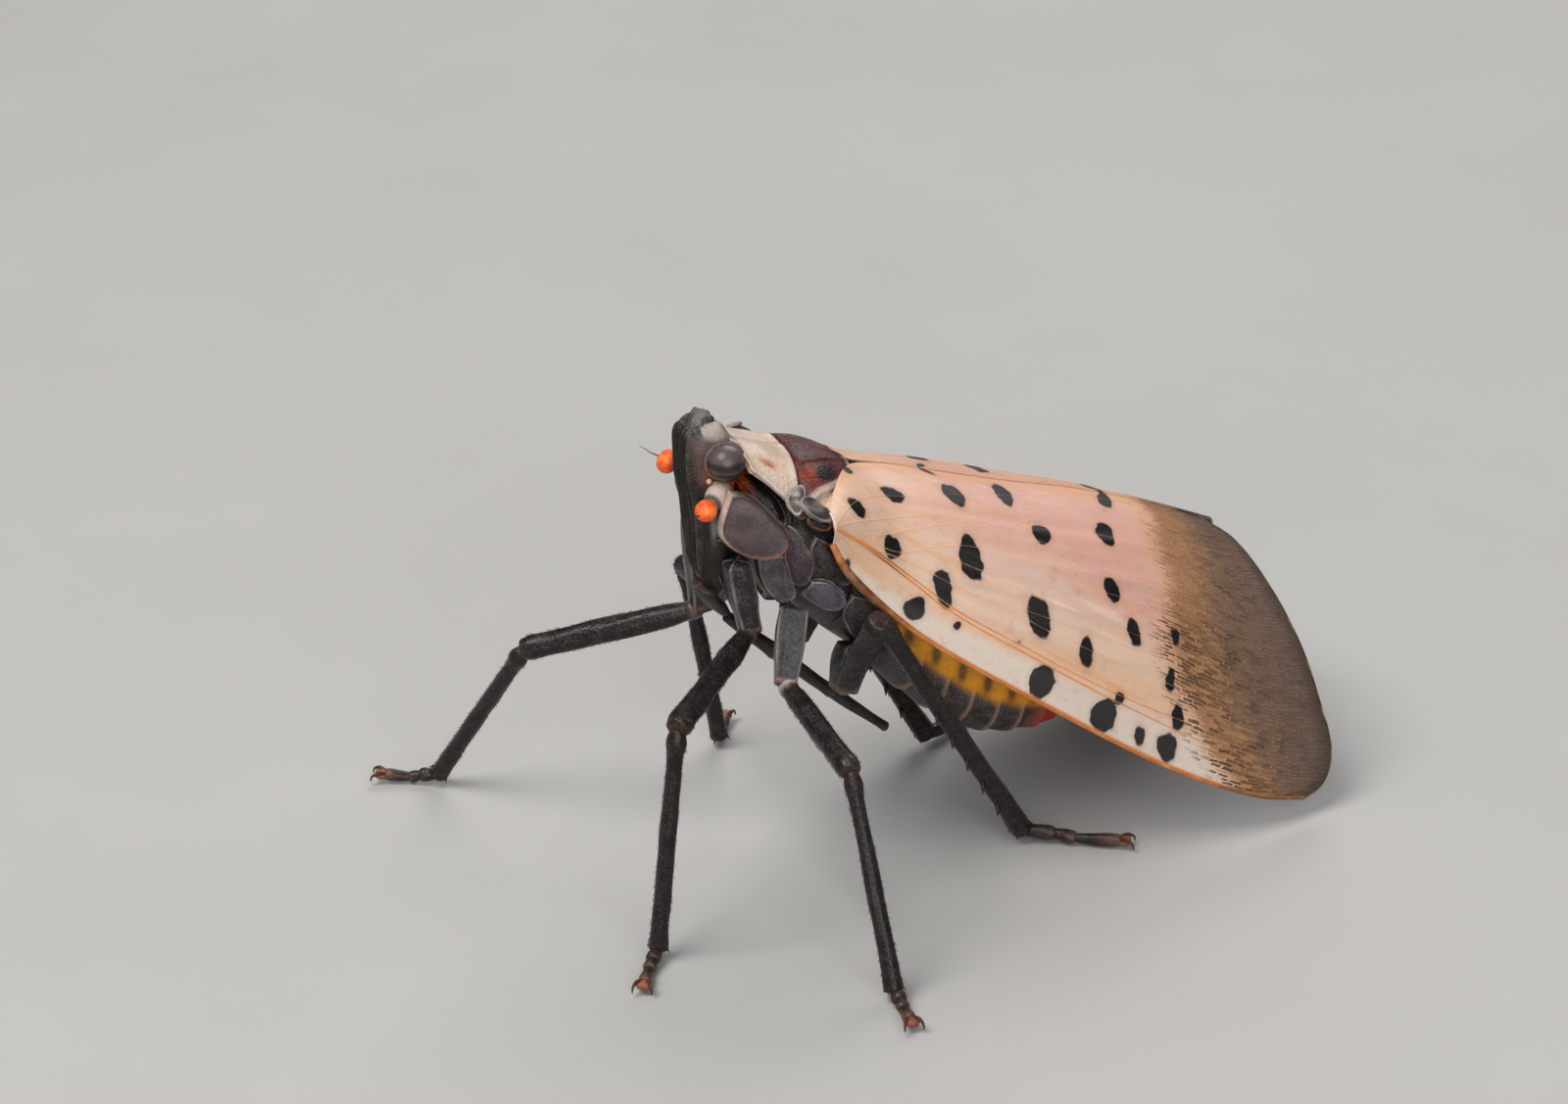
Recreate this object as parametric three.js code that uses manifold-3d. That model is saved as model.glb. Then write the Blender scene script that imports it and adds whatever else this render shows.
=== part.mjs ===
// Spotted lanternfly (Lycorma delicatula), adult at rest, as a still life-size model.
// Millimetres, +Z up. The head points to -Y, the insect's left side is +X, the midline is x = 0
// and the feet stand on z = 0. The finished group is moved so that the middle of its box is the origin.

import * as THREE from 'three';
import { mergeVertices } from 'three/addons/utils/BufferGeometryUtils.js';
import Module from 'manifold-3d';

// Driving dimensions

const GAP = 0.3;               // clear distance between neighbouring pieces
const SHEET = 0.5;             // thickness of wings and body plates
const VEIN_RISE = 0.14;        // height of a main vein above the wing
const VEIN_HALF_WIDTH = 0.022; // half width of a vein, as a share of the wing's width
const LIMB_SIDES = 10;
const BODY_SIDES = 20;

// Head, as level slices from the chin up: height, front, back, half width
const HEAD_SLICES = [
  [9.35, 0.24, 0.85, 0.66],
  [10.0, 0.06, 0.95, 0.88],
  [10.8, -0.06, 1.0, 1.04],
  [11.6, -0.18, 1.02, 1.14],
  [12.4, -0.28, 1.05, 1.2],
  [13.2, -0.31, 1.05, 1.25],
  [13.9, -0.25, 1.05, 1.26],
  [14.5, -0.14, 1.0, 1.16],
  [14.95, -0.02, 0.85, 0.85],
  [15.25, 0.18, 0.62, 0.4],
];
const CLYPEUS_SLICES = [
  [8.3, 0.98, 1.38, 0.3],
  [8.65, 0.66, 1.22, 0.45],
  [9.05, 0.38, 0.95, 0.56],
];
const CHEEK = 1.12;            // the head is this much wider behind the face
const EYE = { x: 1.42, y: 0.62, z: 14.15, radius: 0.62 };
const CUP = { from: [1.1, 0.72, 12.95], to: [1.52, 0.3, 12.82], radius: 0.36 };
const BULB = { x: 1.86, y: -0.16, z: 12.72, radius: 0.32 };
const BRISTLE = { to: [2.35, -0.75, 12.95], radius: 0.1 };
const ROSTRUM = { from: [0, 1.3, 8.1], to: [0, 6.64, 3.1], radius: 0.24 };

// Trunk, as slices across its slope: top y, z, bottom y, z, half width
const TRUNK = {
  prothorax: [
    [1.62, 13.35, 1.2, 11.0, 1.5],
    [2.1, 13.2, 1.55, 10.5, 1.85],
    [2.68, 13.0, 2.05, 9.9, 2.0],
  ],
  mesothorax: [
    [3.02, 12.85, 2.38, 9.45, 2.3],
    [3.8, 12.5, 3.05, 8.6, 2.5],
    [4.6, 12.1, 3.75, 7.9, 2.45],
  ],
  metathorax: [
    [4.95, 11.8, 4.05, 7.55, 2.35],
    [5.6, 11.3, 4.8, 6.9, 2.4],
    [6.25, 10.8, 5.5, 6.2, 2.25],
  ],
};
// Abdomen: the same slices at the middle of each segment, with a step between segments
const ABDOMEN = [
  [6.75, 10.1, 6.0, 5.5, 2.2],
  [7.7, 9.5, 7.0, 4.5, 2.45],
  [8.7, 8.8, 8.0, 3.6, 2.5],
  [9.7, 8.0, 9.1, 2.9, 2.4],
  [10.7, 7.1, 10.2, 2.55, 2.15],
  [11.7, 6.1, 11.3, 2.4, 1.75],
];
const ABDOMEN_STEP = 0.12;
const ABDOMEN_TIP = [
  [11.75, 6.05, 11.35, 2.4, 1.72],
  [12.8, 4.5, 12.7, 2.6, 1.0],
  [13.6, 3.6, 13.5, 2.9, 0.5],
];

// Back plates: front and rear edge, height and half width there
const PRONOTUM = { front: 1.35, rear: 3.1, frontZ: 14.42, rearZ: 13.8, frontHalf: 1.75, rearHalf: 2.62, drop: 1.75 };
const MESONOTUM = { front: 3.42, rear: 4.9, frontZ: 13.66, rearZ: 13.05, frontHalf: 2.35, rearHalf: 0.38, drop: 0.85 };
// Ear-shaped side lobe of the prothorax, outline in (y, z)
const LOBE_OUTLINE = [
  [0.72, 13.2], [1.3, 13.05], [1.8, 12.55], [2.24, 11.95], [2.2, 11.4],
  [1.55, 11.0], [0.95, 11.15], [0.5, 11.75], [0.55, 12.5],
];
const LOBE = { inner: 2.0, turn: 0.38, pivotY: 1.3 };
const TEGULA = { x: 2.86, y: 3.1, z: 12.45, radii: [0.34, 0.48, 0.42] };

// Forewing, left: its four edges on the outer face
const FOREWING = {
  costal: [
    [2.95, 3.55, 11.5], [3.05, 3.95, 10.6], [3.35, 4.75, 9.6], [3.95, 6.3, 8.15],
    [4.85, 9.65, 5.75], [5.45, 13.9, 2.85], [5.72, 16.9, 1.3], [5.5, 18.7, 0.7],
  ],
  dorsal: [
    [2.7, 3.5, 12.5], [1.7, 4.2, 12.9], [0.8, 4.85, 12.85], [0.25, 5.5, 12.6], [0.17, 6.6, 12.3],
    [0.17, 8.3, 11.72], [0.17, 10.6, 10.95], [0.17, 13.1, 10.2], [0.18, 15.7, 9.15], [0.4, 17.5, 8.3],
  ],
  margin: [
    [5.5, 18.7, 0.7], [5.3, 19.45, 0.98], [4.95, 19.9, 1.8], [4.1, 19.75, 3.6],
    [3.3, 19.5, 5.05], [2.2, 18.95, 6.6], [1.15, 18.3, 7.7], [0.4, 17.5, 8.3],
  ],
  bulge: 1.0,
  steps: 18,
  // Main veins, as their share of the width at the base and at the outer margin
  veins: [[0.14, 0.1], [0.36, 0.3], [0.52, 0.52], [0.68, 0.72], [0.84, 0.9]],
  veinEnd: 0.7,
};
// Hindwing, left: the part of the forewing that it lies under
const HINDWING = { uStart: 0.22, uEnd: 0.84, vStart: 0.34, vEnd: 0.88, steps: 10, across: 6, depth: SHEET + GAP + 0.08 };

// Legs: joints from the body out, then the end of the claws. Radii are at the start and the end.
const LEGS = {
  fore_left: {
    coxa: [[1.62, 0.95, 10.75], [1.6, 1.4, 8.4]],
    knee: [4.9, -2.3, 7.5],
    ankle: [5.41, -3.2, 0.42],
    foot: [[6.1, -3.75, 0.24], [7.0, -4.3, 0.3]],
  },
  fore_right: {
    coxa: [[-1.62, 0.95, 10.75], [-1.75, 1.15, 7.6]],
    knee: [-4.2, -3.8, 5.95],
    ankle: [-7.15, -5.75, 0.42],
    foot: [[-7.6, -6.5, 0.24], [-8.05, -7.35, 0.3]],
  },
  mid_left: {
    coxa: [[2.2, 2.6, 9.1], [3.15, 1.9, 7.2]],
    knee: [7.6, 2.1, 6.5],
    ankle: [10.3, 2.36, 0.42],
    foot: [[11.1, 2.3, 0.24], [11.95, 2.18, 0.3]],
  },
  mid_right: {
    coxa: [[-2.2, 2.6, 9.1], [-2.85, 2.1, 7.3]],
    knee: [-6.0, 2.3, 6.9],
    ankle: [-5.95, 3.45, 0.42],
    foot: [[-6.6, 3.8, 0.24], [-7.3, 4.2, 0.3]],
  },
  hind_left: {
    coxa: [[1.75, 4.75, 7.2], [1.9, 4.35, 5.9]],
    knee: [3.75, 4.75, 9.05],
    ankle: [3.35, 9.85, 0.48],
    foot: [[4.2, 11.3, 0.26], [5.05, 12.7, 0.3]],
  },
  hind_right: {
    coxa: [[-1.75, 4.75, 7.2], [-1.9, 4.35, 5.9]],
    knee: [-3.75, 4.75, 9.05],
    ankle: [-3.35, 9.6, 0.48],
    foot: [[-4.1, 11.1, 0.26], [-4.9, 12.5, 0.3]],
  },
};
const LEG_RADII = {
  fore: { coxa: [0.42, 0.34], femur: [0.33, 0.37], tibia: [0.27, 0.25], tarsus: 0.25 },
  mid: { coxa: [0.46, 0.36], femur: [0.32, 0.35], tibia: [0.26, 0.25], tarsus: 0.25 },
  hind: { coxa: [0.5, 0.42], femur: [0.36, 0.4], tibia: [0.3, 0.3], tarsus: 0.27 },
};
const CLAW = { length: 0.42, spread: 0.5, radius: 0.11 };

// Colours: base colour, roughness, metalness
const COLOURS = {
  cuticle: [0x3a3531, 0.55],
  head: [0x2b2522, 0.5],
  eye: [0x6d6470, 0.3],
  cup: [0x8a7a66, 0.6],
  bulb: [0xe07a1e, 0.45],
  pronotum: [0xb59a7c, 0.55],
  mesonotum: [0x4a2f28, 0.55],
  lobe: [0x4b3438, 0.5],
  abdomen: [0xd9a51e, 0.55],
  forewing: [0xcdb6a2, 0.5],
  hindwing: [0xa83222, 0.5],
  leg: [0x38332f, 0.5],
};

// Solid helpers

const wasm = await Module();
wasm.setup();

const vec = (p) => new THREE.Vector3(...p);

function outward(geometry) {
  const position = geometry.attributes.position;
  const index = geometry.index.array;
  const a = new THREE.Vector3();
  const b = new THREE.Vector3();
  const c = new THREE.Vector3();
  let volume = 0;
  for (let i = 0; i < index.length; i += 3) {
    a.fromBufferAttribute(position, index[i]);
    b.fromBufferAttribute(position, index[i + 1]);
    c.fromBufferAttribute(position, index[i + 2]);
    volume += a.dot(b.cross(c));
  }
  if (volume < 0) {
    for (let i = 0; i < index.length; i += 3) {
      [index[i + 1], index[i + 2]] = [index[i + 2], index[i + 1]];
    }
  }
  geometry.computeVertexNormals();
  return geometry;
}

function meshGeometry(points, faces) {
  const geometry = new THREE.BufferGeometry();
  geometry.setAttribute('position', new THREE.Float32BufferAttribute(points.flatMap((p) => p.toArray()), 3));
  geometry.setIndex(faces);
  return outward(geometry);
}

function toSolid(geometry) {
  const bare = geometry.clone();
  bare.deleteAttribute('normal');
  bare.deleteAttribute('uv');
  const merged = mergeVertices(bare, 1e-5);
  return new wasm.Manifold(new wasm.Mesh({
    numProp: 3,
    vertProperties: new Float32Array(merged.attributes.position.array),
    triVerts: new Uint32Array(merged.index.array),
  }));
}

function fromSolid(solid) {
  const parts = solid.decompose();
  const main = parts.reduce((best, part) => (part.volume() > best.volume() ? part : best));
  const mesh = main.getMesh();
  const geometry = new THREE.BufferGeometry();
  geometry.setAttribute('position', new THREE.BufferAttribute(new Float32Array(mesh.vertProperties), 3));
  geometry.setIndex(new THREE.BufferAttribute(new Uint32Array(mesh.triVerts), 1));
  geometry.computeVertexNormals();
  return geometry;
}

// A piece less its neighbours, which are given already grown by the gap
function carve(geometry, ...neighbours) {
  let solid = toSolid(geometry);
  for (const neighbour of neighbours) {
    solid = solid.subtract(toSolid(neighbour));
  }
  return fromSolid(solid);
}

function join(...geometries) {
  return fromSolid(geometries.map(toSolid).reduce((whole, piece) => whole.add(piece)));
}

// Points of an oval around a centre; a power above 2 squares it off
function ovalRing(centre, side, up, sides, power = 2) {
  const ring = [];
  const bend = (value) => Math.sign(value) * Math.abs(value) ** (2 / power);
  for (let i = 0; i < sides; i += 1) {
    const angle = (2 * Math.PI * i) / sides;
    ring.push(centre.clone()
      .addScaledVector(side, bend(Math.cos(angle)))
      .addScaledVector(up, bend(Math.sin(angle))));
  }
  return ring;
}

// A closed skin over rings that all have the same number of points
function loft(rings) {
  const sides = rings[0].length;
  const points = rings.flat();
  const faces = [];
  for (let r = 0; r + 1 < rings.length; r += 1) {
    for (let i = 0; i < sides; i += 1) {
      const a = r * sides + i;
      const b = r * sides + ((i + 1) % sides);
      faces.push(a, b, b + sides, a, b + sides, a + sides);
    }
  }
  const cap = (ring, start, flip) => {
    const middle = points.length;
    points.push(ring.reduce((sum, p) => sum.add(p), new THREE.Vector3()).divideScalar(sides));
    for (let i = 0; i < sides; i += 1) {
      const a = start + i;
      const b = start + ((i + 1) % sides);
      faces.push(...(flip ? [middle, b, a] : [middle, a, b]));
    }
  };
  cap(rings[0], 0, true);
  cap(rings[rings.length - 1], (rings.length - 1) * sides, false);
  return meshGeometry(points, faces);
}

// A closed sheet: outer and inner face are split into triangles alike
function sheet(outer, inner) {
  const rows = outer.length;
  const columns = outer[0].length;
  const points = [...outer.flat(), ...inner.flat()];
  const half = rows * columns;
  const at = (r, c) => r * columns + c;
  const faces = [];
  for (let r = 0; r + 1 < rows; r += 1) {
    for (let c = 0; c + 1 < columns; c += 1) {
      const [p, q, s, t] = [at(r, c), at(r, c + 1), at(r + 1, c + 1), at(r + 1, c)];
      faces.push(p, q, s, p, s, t);
      faces.push(half + p, half + s, half + q, half + p, half + t, half + s);
    }
  }
  const rim = [];
  for (let c = 0; c + 1 < columns; c += 1) rim.push(at(0, c));
  for (let r = 0; r + 1 < rows; r += 1) rim.push(at(r, columns - 1));
  for (let c = columns - 1; c > 0; c -= 1) rim.push(at(rows - 1, c));
  for (let r = rows - 1; r > 0; r -= 1) rim.push(at(r, 0));
  rim.forEach((a, i) => {
    const b = rim[(i + 1) % rim.length];
    faces.push(a, half + b, b, a, half + a, half + b);
  });
  return meshGeometry(points, faces);
}

// A limb along a route, with its radius at each point and rounded ends
function limb(route, radii, { grow = 0, sides = LIMB_SIDES, flat = 1 } = {}) {
  const path = route.map(vec);
  const last = path.length - 1;
  const reach = (end, next) => end.clone().sub(next).normalize();
  const rings = [];
  const addRing = (centre, along, radius) => {
    const reference = Math.abs(along.z) > 0.9 ? new THREE.Vector3(0, 1, 0) : new THREE.Vector3(0, 0, 1);
    const side = new THREE.Vector3().crossVectors(along, reference).normalize();
    const up = new THREE.Vector3().crossVectors(side, along).normalize();
    rings.push(ovalRing(centre, side.multiplyScalar(radius), up.multiplyScalar(radius * flat), sides));
  };
  const start = reach(path[0], path[1]);
  const end = reach(path[last], path[last - 1]);
  const startRadius = radii[0] + grow;
  const endRadius = radii[last] + grow;
  addRing(path[0].clone().addScaledVector(start, startRadius * 0.8), start.clone().negate(), startRadius * 0.55);
  path.forEach((point, i) => {
    const back = i > 0 ? point.clone().sub(path[i - 1]).normalize() : start.clone().negate();
    const ahead = i < last ? path[i + 1].clone().sub(point).normalize() : end.clone();
    addRing(point, back.add(ahead).normalize(), radii[i] + grow);
  });
  addRing(path[last].clone().addScaledVector(end, endRadius * 0.8), end, endRadius * 0.55);
  return loft(rings);
}

function ball(x, y, z, radius, grow = 0, [sx, sy, sz] = [1, 1, 1]) {
  const geometry = new THREE.SphereGeometry(1, 14, 10);
  geometry.scale(radius * sx + grow, radius * sy + grow, radius * sz + grow);
  return geometry.translate(x, y, z);
}

// Slices of the trunk: an oval between a top and a bottom point
function trunkLoft(slices, grow = 0, power = 2.3) {
  const rings = slices.map(([topY, topZ, bottomY, bottomZ, half], i) => {
    const top = new THREE.Vector3(0, topY, topZ);
    const bottom = new THREE.Vector3(0, bottomY, bottomZ);
    const up = top.clone().sub(bottom).multiplyScalar(0.5);
    const centre = bottom.clone().add(up);
    const forward = new THREE.Vector3(1, 0, 0).cross(up).normalize();
    if (i === 0) centre.addScaledVector(forward, grow);
    if (i === slices.length - 1) centre.addScaledVector(forward, -grow);
    up.setLength(up.length() + grow);
    return ovalRing(centre, new THREE.Vector3(half + grow, 0, 0), up, BODY_SIDES, power);
  });
  return loft(rings);
}

// Level slices of the head: squared in front, with a lengthwise keel each side of the face's middle
function headLoft(slices, grow = 0, keel = 0) {
  const rings = slices.map(([z, front, back, half], i) => {
    const depth = (back - front) / 2 + grow;
    const middle = (back + front) / 2;
    const lift = i === 0 ? -grow : (i === slices.length - 1 ? grow : 0);
    const centre = new THREE.Vector3(0, middle, z + lift);
    const ring = ovalRing(centre, new THREE.Vector3(half + grow, 0, 0), new THREE.Vector3(0, depth, 0), BODY_SIDES, 2.8);
    ring.forEach((point) => {
      const across = Math.abs(point.x) / (half + grow);
      if (point.y < middle && Math.abs(across - 0.45) < 0.22) point.y -= keel;
      if (point.y > middle) point.x *= CHEEK;
    });
    return ring;
  });
  return loft(rings);
}

// A back plate: an arched sheet between a front and a rear edge
function backPlate({ front, rear, frontZ, rearZ, frontHalf, rearHalf, drop }, grow = 0) {
  const rows = 5;
  const columns = 15;
  const outer = [];
  const inner = [];
  for (let r = 0; r < rows; r += 1) {
    const s = r / (rows - 1);
    const y = THREE.MathUtils.lerp(front - grow, rear + grow, s);
    const half = THREE.MathUtils.lerp(frontHalf, rearHalf, s);
    const top = THREE.MathUtils.lerp(frontZ, rearZ, s);
    const sides = drop * Math.min(1, half / frontHalf);
    const reach = 1 + grow / half;
    const arch = (across) => {
      const bow = Math.abs(across) ** 3;
      return new THREE.Vector3(half * across, y + 0.12 * across * across, top - sides * bow);
    };
    const outerRow = [];
    const innerRow = [];
    for (let c = 0; c < columns; c += 1) {
      const across = reach * (-1 + (2 * c) / (columns - 1));
      const point = arch(across);
      const slope = (3 * sides * across * Math.abs(across)) / half;
      const normal = new THREE.Vector3(slope, 0, 1).normalize();
      outerRow.push(point.clone().addScaledVector(normal, grow));
      innerRow.push(point.clone().addScaledVector(normal, -SHEET - grow));
    }
    outer.push(outerRow);
    inner.push(innerRow);
  }
  return sheet(outer, inner);
}

// Wings

const edgeCurve = (points) => new THREE.CatmullRomCurve3(points.map(vec), false, 'centripetal');
const costal = edgeCurve(FOREWING.costal);
const dorsal = edgeCurve(FOREWING.dorsal);
const margin = edgeCurve(FOREWING.margin);
const base = new THREE.LineCurve3(vec(FOREWING.costal[0]), vec(FOREWING.dorsal[0]));

// Outer face of the left forewing: u runs from base to margin, v from the costal edge to the ridge
function wingPoint(u, v) {
  const along = costal.getPointAt(u).multiplyScalar(1 - v).addScaledVector(dorsal.getPointAt(u), v);
  const across = base.getPoint(v).multiplyScalar(1 - u).addScaledVector(margin.getPointAt(v), u);
  const corners = base.getPoint(0).multiplyScalar((1 - u) * (1 - v))
    .addScaledVector(base.getPoint(1), (1 - u) * v)
    .addScaledVector(margin.getPointAt(0), u * (1 - v))
    .addScaledVector(margin.getPointAt(1), u * v);
  const point = along.add(across).sub(corners);
  const chord = dorsal.getPointAt(u).sub(costal.getPointAt(u));
  const out = new THREE.Vector3(chord.z, 0, -chord.x).normalize();
  const swell = FOREWING.bulge * Math.sin(Math.PI * v ** 1.4) * Math.sin(Math.PI * (0.12 + 0.88 * u));
  return point.addScaledVector(out, swell);
}

function wingNormal(u, v) {
  const d = 0.01;
  const alongU = wingPoint(Math.min(1, u + d), v).sub(wingPoint(Math.max(0, u - d), v));
  const alongV = wingPoint(u, Math.min(1, v + d)).sub(wingPoint(u, Math.max(0, v - d)));
  const normal = alongU.cross(alongV).normalize();
  if (normal.z < 0) normal.negate();
  const upright = THREE.MathUtils.smoothstep(v, 0.8, 1);
  return normal.lerp(new THREE.Vector3(0, 0, 1), upright).normalize();
}

// Lines that run along the wing: three for each vein, and one halfway between two veins
function wingLines() {
  const lines = [{ start: 0, end: 0, rise: 0 }];
  let previous = [0, 0];
  for (const [start, end] of [...FOREWING.veins, [1, 1]]) {
    lines.push({ start: (previous[0] + start) / 2, end: (previous[1] + end) / 2, rise: 0 });
    if (start < 1) {
      lines.push({ start: start - VEIN_HALF_WIDTH, end: end - VEIN_HALF_WIDTH, rise: 0 });
      lines.push({ start, end, rise: VEIN_RISE });
      lines.push({ start: start + VEIN_HALF_WIDTH, end: end + VEIN_HALF_WIDTH, rise: 0 });
    }
    previous = [start, end];
  }
  lines.push({ start: 1, end: 1, rise: 0 });
  return lines;
}

function forewing() {
  const outer = [];
  const inner = [];
  const lines = wingLines();
  for (let r = 0; r <= FOREWING.steps; r += 1) {
    const u = r / FOREWING.steps;
    const fade = 1 - THREE.MathUtils.smoothstep(u, FOREWING.veinEnd, FOREWING.veinEnd + 0.12);
    const rows = lines.map(({ start, end, rise }) => {
      const v = THREE.MathUtils.lerp(start, end, u);
      const normal = wingNormal(u, v);
      const face = wingPoint(u, v);
      return [face.clone().addScaledVector(normal, rise * fade), face.addScaledVector(normal, -SHEET)];
    });
    outer.push(rows.map(([face]) => face));
    inner.push(rows.map(([, back]) => back));
  }
  return sheet(outer, inner);
}

function hindwing() {
  const outer = [];
  const inner = [];
  for (let r = 0; r <= HINDWING.steps; r += 1) {
    const s = r / HINDWING.steps;
    const u = THREE.MathUtils.lerp(HINDWING.uStart, HINDWING.uEnd, s);
    const taper = 1 - 0.35 * s * s;
    const outerRow = [];
    const innerRow = [];
    for (let c = 0; c <= HINDWING.across; c += 1) {
      const share = (c / HINDWING.across) * taper;
      const v = THREE.MathUtils.lerp(HINDWING.vEnd, HINDWING.vStart, share);
      const normal = wingNormal(u, v);
      outerRow.push(wingPoint(u, v).addScaledVector(normal, -HINDWING.depth));
      innerRow.push(wingPoint(u, v).addScaledVector(normal, -HINDWING.depth - SHEET));
    }
    outer.push(outerRow);
    inner.push(innerRow);
  }
  return sheet(outer, inner);
}

// The same geometry on the other side of the midline
function mirrored(geometry) {
  const copy = geometry.index ? geometry.clone() : mergeVertices(geometry.clone());
  copy.scale(-1, 1, 1);
  return outward(copy);
}

// Pieces of the body

function lobe(grow = 0) {
  const shape = new THREE.Shape();
  const [first, ...rest] = LOBE_OUTLINE.map(([y, z]) => new THREE.Vector2(y - LOBE.pivotY, z));
  const swell = ([x, y]) => {
    const centre = new THREE.Vector2(0.05, 12.1);
    const away = new THREE.Vector2(x, y).sub(centre);
    return centre.add(away.setLength(away.length() + grow));
  };
  const outline = [first, ...rest].map((p) => swell(p.toArray()));
  shape.moveTo(outline[0].x, outline[0].y);
  shape.splineThru([...outline.slice(1), outline[0]]);
  const geometry = new THREE.ExtrudeGeometry(shape, { depth: SHEET + 2 * grow, bevelEnabled: false, curveSegments: 3 });
  geometry.translate(0, 0, -grow);
  // Shape axes (y, z, thickness) to the insect's (y, z, x)
  geometry.applyMatrix4(new THREE.Matrix4().set(0, 0, 1, 0, 1, 0, 0, 0, 0, 1, 0, 0, 0, 0, 0, 1));
  geometry.rotateZ(-LOBE.turn);
  return geometry.translate(LOBE.inner, LOBE.pivotY, 0);
}

function floorSlab() {
  return new THREE.BoxGeometry(60, 60, 4).translate(0, 0, -2);
}

function legSolids(name) {
  const { coxa, knee, ankle, foot } = LEGS[name];
  const radii = LEG_RADII[name.split('_')[0]];
  const hip = coxa[1];
  const femurRoute = [hip, vec(hip).lerp(vec(knee), 0.45).toArray(), knee];
  const femurRadii = [radii.femur[0], radii.femur[1] * 1.08, radii.femur[1] * 0.85];
  const tibiaRoute = [knee, vec(knee).lerp(vec(ankle), 0.5).toArray(), ankle];
  const tibiaRadii = [radii.tibia[0], radii.tibia[1], radii.tibia[1] * 1.12];
  const footRoute = [ankle, vec(ankle).lerp(vec(foot[0]), 0.5).toArray(), ...foot];
  const footRadii = [0.8, 0.95, 0.85, 1].map((share) => share * radii.tarsus);
  const heading = vec(foot[1]).sub(vec(foot[0])).setZ(0).normalize();
  const claws = [-CLAW.spread, CLAW.spread].map((turn) => {
    const out = heading.clone().applyAxisAngle(new THREE.Vector3(0, 0, 1), turn).multiplyScalar(CLAW.length);
    const tip = vec(foot[1]).add(out).setZ(CLAW.radius);
    return limb([foot[1], tip.toArray()], [CLAW.radius * 1.5, CLAW.radius * 0.8], { sides: 6 });
  });
  const tarsus = join(limb(footRoute, footRadii), ...claws);
  return {
    coxa: limb(coxa, radii.coxa),
    femur: carve(limb(femurRoute, femurRadii), limb(coxa, radii.coxa, { grow: GAP })),
    tibia: carve(limb(tibiaRoute, tibiaRadii), limb(femurRoute, femurRadii, { grow: GAP })),
    tarsus: carve(tarsus, limb(tibiaRoute, tibiaRadii, { grow: GAP }), floorSlab()),
  };
}

// The insect, node by node

const insect = new THREE.Group();

function add(name, geometry, colour) {
  const [base, roughness] = COLOURS[colour];
  const material = new THREE.MeshStandardMaterial({ color: base, roughness, metalness: 0 });
  const mesh = new THREE.Mesh(geometry, material);
  mesh.name = name;
  insect.add(mesh);
}

function addPair(name, geometry, colour) {
  add(`${name}_left`, geometry, colour);
  add(`${name}_right`, mirrored(geometry), colour);
}

const cupRoute = [CUP.from, CUP.to];
const cupRadii = [CUP.radius, CUP.radius * 0.9];
const fatBulb = ball(BULB.x, BULB.y, BULB.z, BULB.radius, GAP);
const fatEye = ball(EYE.x, EYE.y, EYE.z, EYE.radius, GAP);
const fatCup = limb(cupRoute, cupRadii, { grow: GAP });
const fatHead = headLoft(HEAD_SLICES, GAP);
const fatLobe = lobe(GAP);
const fatPronotum = backPlate(PRONOTUM, GAP);
const fatMesonotum = backPlate(MESONOTUM, GAP);
const bothSides = (geometry) => [geometry, mirrored(geometry)];

const sockets = [...bothSides(fatEye), ...bothSides(fatCup)];
add('head', carve(headLoft(HEAD_SLICES, 0, 0.07), ...sockets), 'head');
add('clypeus', carve(headLoft(CLYPEUS_SLICES), fatHead), 'head');
const rostrum = limb([ROSTRUM.from, ROSTRUM.to], [ROSTRUM.radius, ROSTRUM.radius]);
add('rostrum', carve(rostrum, headLoft(CLYPEUS_SLICES, GAP)), 'cuticle');
addPair('eye', ball(EYE.x, EYE.y, EYE.z, EYE.radius), 'eye');
addPair('antenna_cup', carve(limb(cupRoute, cupRadii), fatBulb), 'cup');
const bulb = ball(BULB.x, BULB.y, BULB.z, BULB.radius);
const bristle = limb([[BULB.x, BULB.y, BULB.z], BRISTLE.to], [BRISTLE.radius, BRISTLE.radius * 0.6], { sides: 6 });
addPair('antenna_bulb', join(bulb, bristle), 'bulb');

const fatThorax = [TRUNK.prothorax, TRUNK.mesothorax, TRUNK.metathorax].map((slices) => trunkLoft(slices, GAP));
add('prothorax', carve(trunkLoft(TRUNK.prothorax), ...bothSides(fatLobe), fatHead, fatPronotum), 'cuticle');
add('mesothorax', carve(trunkLoft(TRUNK.mesothorax), fatThorax[0], fatPronotum, fatMesonotum), 'cuticle');
add('metathorax', carve(trunkLoft(TRUNK.metathorax), fatThorax[1], fatMesonotum), 'cuticle');
add('pronotum', carve(backPlate(PRONOTUM), ...bothSides(fatLobe), ...bothSides(fatEye)), 'pronotum');
add('mesonotum', backPlate(MESONOTUM), 'mesonotum');
addPair('side_lobe', carve(lobe(), fatHead, fatCup), 'lobe');
const tegula = ball(TEGULA.x, TEGULA.y, TEGULA.z, 1, 0, TEGULA.radii);
const fatTegula = ball(TEGULA.x, TEGULA.y, TEGULA.z, 1, GAP, TEGULA.radii);
addPair('tegula', carve(tegula, fatLobe, fatPronotum, ...fatThorax), 'cuticle');

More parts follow.
